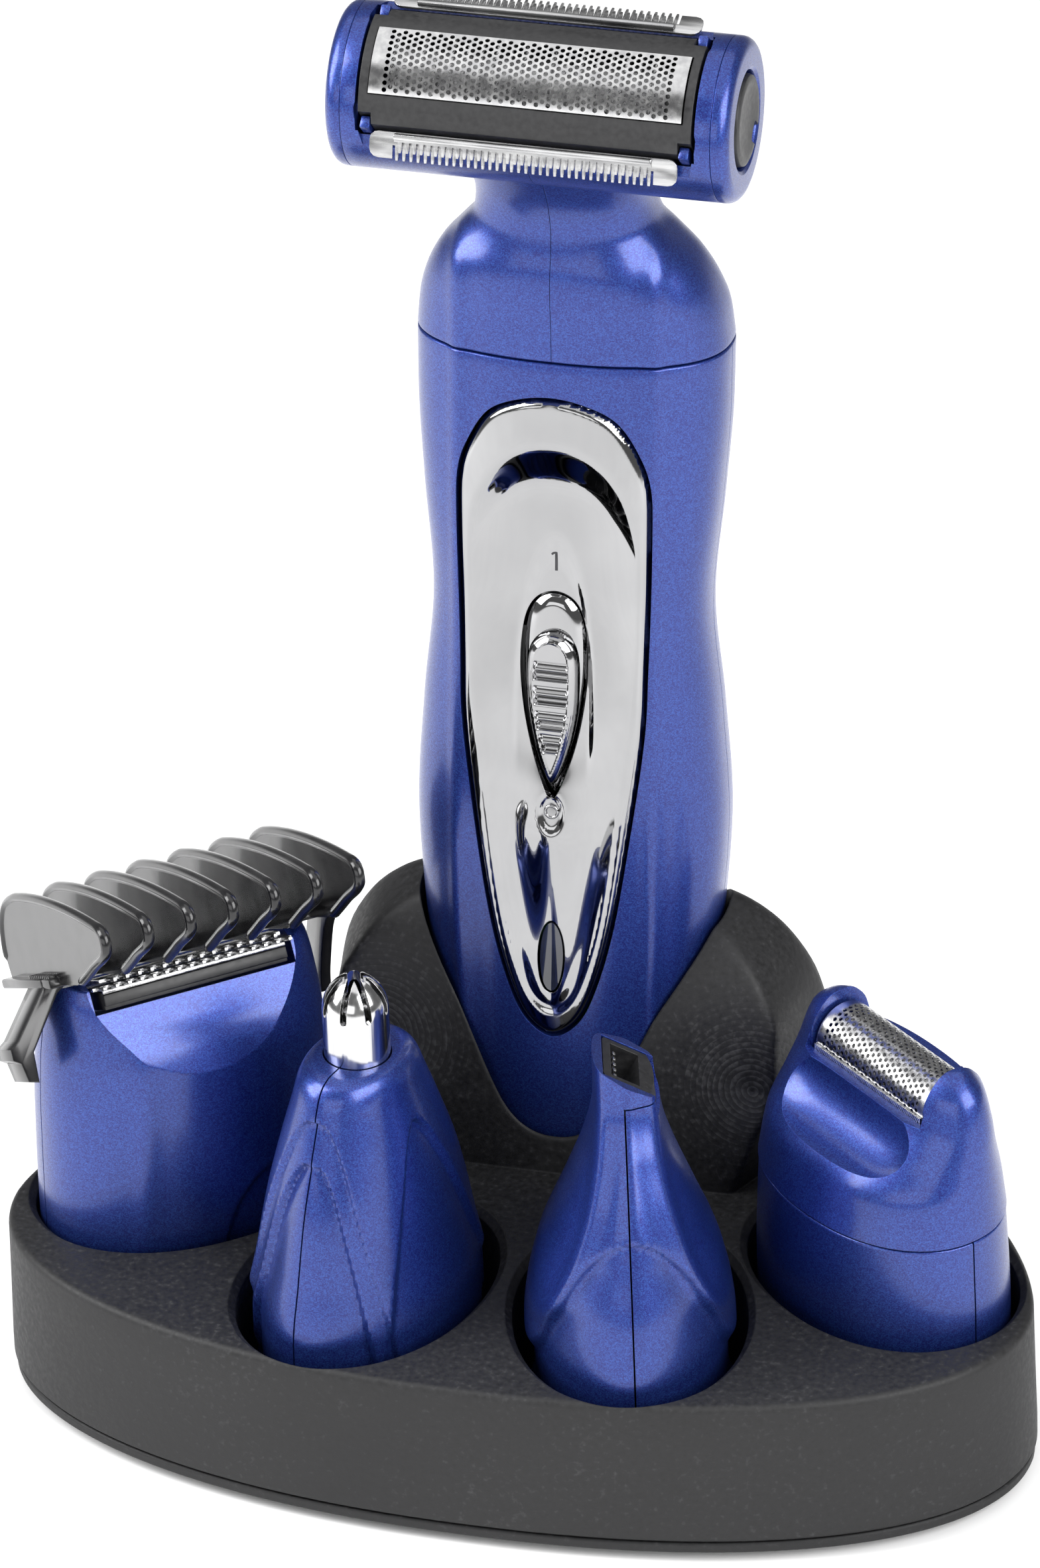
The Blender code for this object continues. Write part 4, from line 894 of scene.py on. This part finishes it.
def make_shaver():
    neck = skin("neck", body_rings(DOME_STATIONS, 0.8, 176, edge=0.28, sign=-1, relief=ridges,
                                   high=163), HANDSET)
    half = 22.58
    soft = 0.06
    round_end = arc(BAR_RADIUS - soft, half - soft, soft, soft, np.radians((0, 45, 90)))
    profile = [(0, -half)] + [(r, -x) for r, x in round_end[::-1]]
    profile += [(BAR_RADIUS, x) for x in np.linspace(-21, 21, 24)] + round_end + [(0, half)]
    bar = turned("bar", profile, BAR @ ALONG_X, 144)
    carve(bar, neck, how="UNION")
    hollow = skin("dome_hollow", body_rings(DOME_STATIONS[:5], 2, 64, grow=-2.0, edge=0.1,
                                            sign=-1, low=130, high=146), HANDSET)
    channel = rod("channel", 4.3, -22, 10, HANDSET @ shift(0, -11.5, 160) @ turn(42, "X"), 48)
    carve(bar, hollow, channel, block("trough", (-20.7, -7.9, -5.2), (20.7, 7.9, 14), BAR))
    for place in TRIMMERS.values():
        edge = rounded([(20.2, -4), (20.2, 1), (18.6, 4.4), (14, 6.2), (-14, 6.2), (-18.6, 4.4),
                        (-20.2, 1), (-20.2, -4), (-12, -4), (12, -4)], 6)
        carve(bar, prism("ledge", edge, -1.05, 6, place))
    for side in (-1, 1):
        place = BAR @ turn(side * 90, "Y")
        carve(bar, rod("seat", 6.1, 21.2, 26, place, 64))
    sides = halves(HANDSET, 0, 0.035)
    for word, side in (("right", sides[1]), ("left", sides[0])):
        part = added("housing_" + word, bar.data.copy())
        carve(part, side, spare=True)
        finish(part, BLUE, "shaver_head", "shaver_housing_" + word, 26)
    discard(bar, *sides)

    for word, side in (("left", -1), ("right", 1)):
        place = BAR @ turn(side * 90, "Y")
        rim = arc(BAR_RADIUS - 1.5, 23.2, 1.5, 1.5, np.radians((0, 20, 40, 60, 78, 90)))
        profile = [(5.95, 22.62), (BAR_RADIUS - soft, 22.62), (BAR_RADIUS, 22.68), *rim,
                   (6.5, 24.7), (6.1, 24.45), (5.95, 24.1)]
        finish(turned("end_ring_" + word, profile, place, 128, closed=True), BLUE, "shaver_head",
               "shaver_end_cap_" + word)
        disc = [(0, 22.9), (5.5, 22.9), (5.6, 23.0), (5.6, 24.3), (5.45, 24.75), (5.0, 24.95),
                (4.4, 24.9), (3.0, 24.6), (0, 24.45)]
        button = turned("press_disc_" + word, disc, place, 96)
        carve(button, block("step", (3.6, -1.3, 24.2), (6.5, 1.3, 26), place, 0.2))
        finish(button, SATIN, "release_button_" + word, "release_button_" + word)

    holder = prism("foil_holder", arch(10.0, 7.2, 2.4, 56), -20.3, 20.3, BAR @ SIDEWAYS)
    for side_x in (-1, 1):
        for side_y in (-1, 1):
            x, y = sorted((side_x * 18.7, side_x * 22)), sorted((side_y * 6.1, side_y * 9))
            carve(holder, block("notch", (x[0], y[0], 0), (x[1], y[1], 14), BAR))
    carve(holder, block("window", (-19.25, -4.2, 0), (19.25, 4.2, 14), BAR))
    finish(holder, SATIN, "foil_frame", "foil_frame", 25)

    def bend(s):
        a = s / FOIL_RADIUS
        return FOIL_RADIUS * math.sin(a), FOIL_RADIUS * math.cos(a)

    foil = perforated("foil_sheet", BAR, 38.2, 8.5, 0.29, bend)
    finish(foil, FOIL, "foil_frame", "shaver_foil", 30)
    lamellae = [prism("core", arch(7.6, 3.2, 4.6, 16), -17.2, 17.2, BAR @ SIDEWAYS)]
    lamellae += [prism("lamella", arch(9.55, 3.5, 7.0, 16), x - 0.14, x + 0.14, BAR @ SIDEWAYS)
                 for x in (np.arange(20) - 9.5) * 1.75]
    finish(joined("cutter_block", lamellae), STEEL, "foil_cutter", "shaver_cutter")

    for word, place in TRIMMERS.items():
        comb = prism(word + "_comb", comb_plate(18.8, 36, TRIM_PITCH, 1.5, 3.35, -0.1, 0.23, 0.6,
                                                1.1, 3.15), 0.0, 0.34, place, 0.04)
        finish(comb, STEEL, "shaver_head", word + "_trimmer_comb")
        teeth = prism("teeth", comb_plate(15.7, 35, TRIM_PITCH, 1.0, 2.3, 0.0, 0.26, 0.5), 0.42,
                      0.72, place, 0.05)
        bar = block("bar", (-15.7, -0.05, 0.42), (15.7, 0.6, 1.15), place, 0.12)
        finish(joined(word + "_mover", [teeth, bar]), STEEL, word + "_trimmer_blade",
               word + "_trimmer_blade")
    for x in (-19.45, 19.45):
        for y in (-7.0, 7.0):
            name = f"frame_stop_{'r' if x > 0 else 'l'}{'u' if y > 0 else 'd'}"
            finish(block(name, (x - 0.62, y - 0.75, 2.0), (x + 0.62, y + 0.75, 7.0), BAR, 0.2),
                   BLUE, "shaver_head")


# ---------------------------------------------------------------- attachments
def arched(offset, height, apex, rate, power, wall, unit=1.0):
    """How far a point lies inside an arch that widens below its apex, as 0 to 1."""
    drop = max(apex - height, 0.0)
    across = np.clip(rate * drop ** power - np.abs(offset), 0, None) * unit
    down = np.clip(apex - (np.abs(offset) / rate) ** (1 / power) - height, 0, None)
    return smoothstep(across * down / (np.hypot(across, down) + 1e-6) / wall)


def end_angle(x, y, half_x, half_y):
    """The oval's angle in degrees from its long axis."""
    return np.degrees(np.arctan2(np.abs(y) / half_y, np.abs(x) / half_x))


def nose_relief(x, y, height):
    """Nested arches on the two ends, and one on each side."""
    half_x, half_y = NOSE_X(height), NOSE_Y(height)
    t = end_angle(x, y, half_x, half_y)
    outer = arched(t, height, 52.0, 16.6, 0.36, 0.75, 0.2)
    inner = arched(t, height, 46.5, 14.4, 0.36, 0.8, 0.2)
    middle = smoothstep(t / (12.6 * max(46.5 - height, 0.5) ** 0.36))
    flank = arched(90 - t, height, 49, 7.75, 0.5, 0.7, 0.2)
    low = smoothstep((height - 10) / 5)
    return -low * (0.8 * outer + inner * (0.3 + 0.8 * middle) + 0.8 * flank)


def precision_relief(x, y, height):
    """Two creases up to the tip with a sunk arch between them."""
    crease = 3.0 + 0.0098 * max(57 - height, 0) ** 2
    ridge = 0.75 * hump(np.abs(y) - crease, 0.8) * smoothstep((height - 26) / 6)
    facet = -0.5 * smoothstep((crease - np.abs(y)) / 2.2) * smoothstep((height - 30) / 8)
    arch = arched(y, height, 42.0, 2.92, 0.5, 0.9) * smoothstep((height - 9) / 6)
    return ridge + facet - arch * (1.15 - 0.55 * hump(y, 5.0))


NOSE_X, NOSE_Y, _ = sections(NOSE_STATIONS)


def shells(names, nodes, stations, place, body, relief, cutters, inner, edge=0.25, top=90):
    """Two casing halves with a fine parting gap; the first keeps all above the top."""
    whole = skin("whole", body_rings(stations, 0.45, 260, HEAD_POWER, edge=edge, relief=relief),
                 place)
    hollow = skin("hollow", body_rings(inner, 2, 72, HEAD_POWER, grow=-1.9, edge=0.1,
                                       low=HEAD_BASE - 2, high=inner[-1][0] - 1.7), place)
    carve(whole, hollow, *cutters)
    gap = 0.1
    beyond = block("beyond", (-90, -gap, -9), (90, 90, top + gap), place)
    before = block("before", (-90, -90, -9), (90, gap, 90), place)
    for name, node, tools in zip(names, nodes, ((beyond,), (before, block(
            "above", (-90, -90, top - gap), (90, 90, 120), place)))):
        part = added(name, whole.data.copy())
        carve(part, *tools)
        finish(part, BLUE, body, node, 26)
    discard(whole)


def swept(name, path, radius, flat, place):
    """An oval bar along a path in the local XY plane, with thinner ends."""
    path = np.array(path, float)
    ahead = np.roll(path, -1, 0) - path
    ahead[-1] = ahead[-2]
    behind = path - np.roll(path, 1, 0)
    behind[0] = behind[1]
    along = ahead / np.linalg.norm(ahead, axis=1)[:, None]
    along = along + behind / np.linalg.norm(behind, axis=1)[:, None]
    along /= np.linalg.norm(along, axis=1)[:, None]
    rings = []
    last = len(path) - 1
    for index, (point, heading) in enumerate(zip(path, along)):
        size = radius * (0.55 if index in (0, last) else 1.0)
        rings.append([(point[0] - heading[1] * size * math.cos(a),
                       point[1] + heading[0] * size * math.cos(a), size * flat * math.sin(a))
                      for a in np.linspace(0, 2 * np.pi, 12, False)])
    return skin(name, rings, place)


def smooth_path(points, steps):
    """An open smooth path through points."""
    points = np.array(points, float)
    length = np.concatenate([[0], np.cumsum(np.linalg.norm(np.diff(points, axis=0), axis=1))])
    at = np.linspace(0, length[-1], steps * (len(points) - 1) + 1)
    return np.stack([through(length, points[:, 0])(at), through(length, points[:, 1])(at)], 1)


def ribs(low, high, start, pitch, count, width, top):
    """Grip ribs across a comb's deck, from low to high in x."""
    return [block("rib", (low, y, 2.6), (high, y + width, top), BLADES, 0.1)
            for y in start + np.arange(count) * pitch]


def make_clipper():
    cutters = [block("facet", (-26, -22, 0), (26, 22, 20),
                     CLIPPER @ shift(0, 11.9, 46.8) @ turn(-56.6, "X")),
               block("top", (-26, -34, 1.0), (26, 16, 24), BLADES),
               block("notch", (-13.4, -6.2, -3.2), (13.4, 16, 9), BLADES),
               block("slope", (-26, -34, -1.2), (26, -9.5, 20), BLADES)]

    def relief(x, y, height):
        fade = smoothstep((height - 16) / 8) * smoothstep((54 - height) / 8)
        thumb = 1 - np.hypot((x + 9) / 10, (height - 19) / 12.5)
        dent = 0.9 * smoothstep(thumb * 9 / 1.1) * (y > 0)
        return 0.3 * hump(x - 9.5 + (height - 40) * 0.06, 1.4) * fade * (y > 0) - dent

    shells(("clipper_casing_rear", "clipper_casing_front"),
           ("clipper_rear_shell", "clipper_front_shell"), CLIPPER_STATIONS, CLIPPER,
           "clipper_head", relief, cutters, CLIPPER_STATIONS[:-3])
    holder = joined("blade_seat", [
        block("seat", (-12.2, -4.6, -2.8), (12.2, 1.75, -0.55), BLADES, 0.15),
        block("front", (-12.2, 1.5, -2.3), (12.2, 2.2, -0.9), BLADES, 0.12)])
    finish(holder, SATIN, "clipper_head", "clipper_blade_holder")
    fixed = prism("fixed", comb_plate(13.3, 16, BLADE_PITCH, 2.0, 4.2, -4.4, 0.42, 0.5), -0.24,
                  0.24, BLADES, 0.08)
    strip = block("strip", (-12.2, 1.8, -0.8), (12.2, 2.25, -0.3), BLADES, 0.1)
    finish(joined("blade_lower", [fixed, strip]), STEEL, "clipper_head",
           "clipper_fixed_blade")
    teeth = prism("moving", comb_plate(12.1, 14, BLADE_PITCH, 1.5, 3.8, -2.4, 0.4, 0.5), 0.5, 1.1,
                  BLADES, 0.12)
    finish(teeth, STEEL, "clipper_moving_blade", "clipper_moving_blade")

    pieces = [block("deck", (-20.9, -16.6, 1.6), (18.8, -0.6, 2.8), BLADES, 0.3)]
    edge = smooth_path([(-17.0, 1.9), (-17.5, 5.5), (-16.1, 9.4), (-12.6, 12.1), (-8.4, 12.75),
                        (21.3, 8.75), (22.75, 7.5), (22.4, 6.1), (16, 3.9), (9.6, 1.9)], 10)
    for index in range(7):
        place = BLADES @ shift((index - 3) * COMB_PITCH, 0, 0) @ SIDEWAYS
        web = np.concatenate([edge, [(9.0, 1.7), (-16.8, 1.7)]])
        pieces.append(prism("fin", web, -0.42, 0.42, place))
        pieces.append(swept("bead", edge[4:], 0.62, 1.15, place))
    bracket = [(13.8, 3.1), (16.8, 3.1), (18.4, 2.2), (23.4, -3.8), (24.6, -4.6), (24.6, -6.0),
               (23.7, -6.6), (23.3, -9.0), (21.9, -9.4), (21.7, -5.6), (17.0, 0.6), (15.6, 1.5),
               (13.8, 1.5)]
    hook = rounded([(-6.5, 2.7), (-9.4, 0.6), (-14.3, -5.3), (-13.2, -8.3), (-10.5, -8.6),
                    (-8.4, -5.8), (-3.6, -0.6), (0.6, 2.4)], 5)
    pieces += [prism("arm", bracket, 0.4, 6.4, BLADES @ ACROSS, 0.2),
               prism("arm", hook, -20.9, -19.5, BLADES @ SIDEWAYS, 0.25)]
    for side, end in ((-1, 20.9), (1, 18.6)):
        low, high = sorted((side * 14.0, side * end))
        pieces.append(block("pad", (low, -6.8, 1.5), (high, 2.2, 2.75), BLADES, 0.2))
        pieces += ribs(*sorted((side * 14.2, side * (end - 0.3))), -6.4, 0.76, 11, 0.4, 3.15)
    for index in range(6):
        x = (index - 2.5) * COMB_PITCH
        pieces += ribs(x - 2.1, x + 2.1, -4.4, 0.95, 4, 0.5, 3.1)
    finish(joined("length_comb", pieces), COMB, "guide_comb", "clipper_guide_comb")


def make_nose():
    hole = rod("hole", 4.25, 44, 60, NOSE, 72)
    shells(("nose_casing_left", "nose_casing_right"), ("nose_left_shell", "nose_right_shell"),
           NOSE_STATIONS, NOSE, "nose_head", nose_relief, [hole], NOSE_STATIONS[:-3],
           edge=0.5)
    outside = [(4.1, 46), (4.1, 63.0), (4.02, 63.7), (3.8, 64.5), (3.4, 65.3), (2.8, 66.1),
               (2.1, 66.8), (1.5, 67.2), (1.1, 67.3)]
    inside = [(1.0, 66.2), (1.8, 65.7), (2.5, 64.9), (3.0, 64.0), (3.25, 63.0), (3.3, 46)]
    guard = turned("slotted_guard", outside + inside, NOSE, 96, closed=True)
    for index in range(4):
        place = NOSE @ turn(45 * index + 11, "Z")
        slot = prism("slot", [(-0.42, 63.0), (-0.3, 62.7), (0.0, 62.58), (0.3, 62.7),
                              (0.42, 63.0), (0.42, 69), (-0.42, 69)], -6, 6, place @ ACROSS)
        carve(guard, slot)
    finish(guard, TUBE, "nose_head", "nose_guard_tube")
    rotor = turned("cutter_shaft", [(0, 40), (0.95, 40), (1.0, 63.8), (0.8, 64.4), (0, 64.5)],
                   NOSE, 32)
    wings = [block("wing", (-2.6, -0.4, 58.2), (2.6, 0.4, 63.6), NOSE @ turn(a, "Z"), 0.1)
             for a in (0, 90)]
    carve(rotor, *wings, how="UNION")
    finish(rotor, STEEL, "nose_rotor", "nose_rotor")


def make_precision():
    cutters = [block("top", (-14, -14, 0), (14, 14, 22), TIP),
               block("seat", (-4.3, -2.45, 54.4), (4.3, 8, 72), PRECISION)]
    shells(("precision_casing_left", "precision_casing_right"),
           ("precision_left_shell", "precision_right_shell"), PRECISION_STATIONS, PRECISION,
           "precision_head", precision_relief, cutters, PRECISION_STATIONS[:-2], top=56.6)
    insert = block("tip_insert", (-4.2, -2.35, 54.5), (4.2, 8, 72), PRECISION)
    carve(insert, skin("envelope", body_rings(PRECISION_STATIONS, 1, 120, 2.1, grow=-0.12),
                       PRECISION), how="INTERSECT")
    carve(insert, block("top", (-14, -14, -0.12), (14, 14, 22), TIP))
    carve(insert, block("window", (-3.4, -1.9, -4.2), (3.4, 2.0, 4), TIP, 0.15))
    finish(insert, SATIN, "precision_head", "precision_tip_insert")
    teeth = prism("tip_blade", comb_plate(2.9, 5, 1.2, 0.9, 3.4, 0.0, 0.36, 0.7), -0.2, 0.2,
                  TIP @ shift(0, -1.1, -4.0) @ ACROSS, 0.06)
    finish(teeth, STEEL, "precision_blade", "precision_blade")


def make_mini():
    cap = skin("shaver_cap", body_rings(CAP_STATIONS, 0.6, 160, 2.15, edge=0.9,
                                        low_edge=False), MINI)
    scoop = turned("scoop", [(0, -16.5)] + [
        (6.6 * math.sqrt(max(1 - abs(u / 16.5) ** 5, 0)), u) for u in np.linspace(-16.3, 16.3, 40)]
        + [(0, 16.5)], MINI @ shift(0, -9.9, 50.3) @ ALONG_X, 96)
    carve(cap, scoop, block("trough", (-11.2, -2.1, 49.4), (11.2, 7.6, 62), MINI),
          block("ledge", (-11.5, -16, 50.3), (11.5, -2.0, 62), MINI),
          block("rear", (-11.5, 4, 51.2), (11.5, 16, 62), MINI),
          skin("hollow", body_rings(CAP_STATIONS[:4], 2, 72, 2.1, grow=-1.7, edge=0.1, low=34,
                                    high=42.4), MINI))
    finish(cap, BLUE, "mini_head", "mini_shaver_cap", 30)
    bore = rod("bore", 9.5, 30, 40, MINI, 64)
    shells(("mini_ring_left", "mini_ring_right"), ("mini_collar_left", "mini_collar_right"),
           COLLAR_STATIONS, MINI, "mini_head", None, [bore], COLLAR_STATIONS)
    foil_y, foil_z, half_wide, tall, straight = 2.55, 50.5, 4.2, 4.45, 0.8
    half_length = half_wide * math.pi / 2 + straight

    def over(s):
        """An arched top with two short straight sides."""
        if abs(s) > half_length - straight:
            drop = abs(s) - (half_length - straight)
            return foil_y - math.copysign(half_wide, s), foil_z - drop
        a = s / (half_length - straight) * math.pi / 2
        return foil_y - half_wide * math.sin(a), foil_z + tall * math.cos(a)

    def half_round(wide, high):
        return arc(foil_y, foil_z, wide, high, np.linspace(0, np.pi, 24))

    foil = perforated("mini_foil_sheet", MINI, 21.4, 2 * half_length, 0.27, over, 1.0)
    finish(foil, FOIL, "mini_head", "mini_foil", 30)
    strip = [block("strip", (-10.6, -2.05, 50.3), (10.6, -1.75, 51.0), MINI)]
    strip += [block("tick", (-0.06, -2.16, 50.25), (0.06, -1.95, 51.05),
                    MINI @ shift(x, 0, 50.6) @ turn(24, "Y") @ shift(0, 0, -50.6))
              for x in np.arange(-10.2, 10.3, 0.3)]
    finish(joined("mini_foil_edge", strip), STEEL, "mini_head", "mini_foil", 30)
    blades = [prism("core", half_round(2.9, 3.0), -9.0, 9.0, MINI @ SIDEWAYS)]
    blades += [prism("lamella", half_round(3.6, 3.8), x - 0.13, x + 0.13, MINI @ SIDEWAYS)
               for x in (np.arange(13) - 6) * 1.45]
    finish(joined("mini_cutter_block", blades), STEEL, "mini_cutter", "mini_cutter")


# ---------------------------------------------------------------- floor, light and camera
def make_studio():
    """A pale floor, soft boxes and the camera."""
    bm = bmesh.new()
    bmesh.ops.create_grid(bm, x_segments=1, y_segments=1, size=4000)
    floor = from_bmesh("floor", bm)
    floor.data.materials.append(plain("floor_card", (0.90, 0.90, 0.90), (0.93, 0.93, 0.93),
                                      (0.7, 0.9), 40))
    world = bpy.data.worlds.new("studio")
    world.use_nodes = True
    world.node_tree.nodes["Background"].inputs["Color"].default_value = (1, 1, 1, 1)
    world.node_tree.nodes["Background"].inputs["Strength"].default_value = 0.2
    scene.world = world
    boxes = [("left_box", (-0.58, -0.21, 0.50), (0.40, 0.60), 7.6, (0, 0, 0.09)),
             ("right_box", (0.54, -0.31, 0.48), (0.60, 0.50), 7.0, (0, 0, 0.09)),
             ("low_box", (-0.15, -0.85, 0.32), (0.70, 0.36), 1.6, (0, 0, 0.05)),
             ("sky_box", (0.0, 0.10, 1.00), (1.30, 1.30), 6.0, (0, 0.10, 0))]
    for name, spot, size, power, aim in boxes:
        lamp = bpy.data.lights.new(name, "AREA")
        lamp.shape = "RECTANGLE"
        lamp.size, lamp.size_y = size
        lamp.energy = power
        made = added(name, lamp)
        made.location = spot
        heading = Vector(aim) - Vector(spot)
        made.rotation_euler = heading.to_track_quat("-Z", "Y").to_euler()
    camera = bpy.data.cameras.new("camera")
    camera.sensor_width = 36
    camera.lens = 241.12
    made = added("camera", camera)
    stand_off, aim = 1.3194, Vector((0.35677, -72.3171, 0)) * MM
    yaw, pitch, roll = 0.280019, 0.559046, 0.0367172
    across = Vector((math.cos(yaw), math.sin(yaw), 0))
    level = Vector((-math.sin(yaw), math.cos(yaw), 0))
    spot = across * -aim.x + level * (-aim.y * math.sin(pitch) - stand_off * math.cos(pitch))
    spot.z = -aim.y * math.cos(pitch) + stand_off * math.sin(pitch)
    # The camera was solved about an origin 1.2 mm in front of the row frame's.
    made.location = spot + Vector((0, -1.2, 0)) * MM
    facing = (Matrix.Rotation(yaw, 4, "Z") @ Matrix.Rotation(math.pi / 2 - pitch, 4, "X")
              @ Matrix.Rotation(-roll, 4, "Z"))
    made.rotation_euler = facing.to_euler()
    scene.camera = made
    scene.view_settings.view_transform = "Standard"


make_studio()
make_stand()
make_handset()
make_shaver()
make_clipper()
make_nose()
make_precision()
make_mini()
for material, nodes in KEPT.items():
    for node in nodes:
        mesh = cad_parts[node].data
        mesh.materials.clear()
        mesh.materials.append(material)
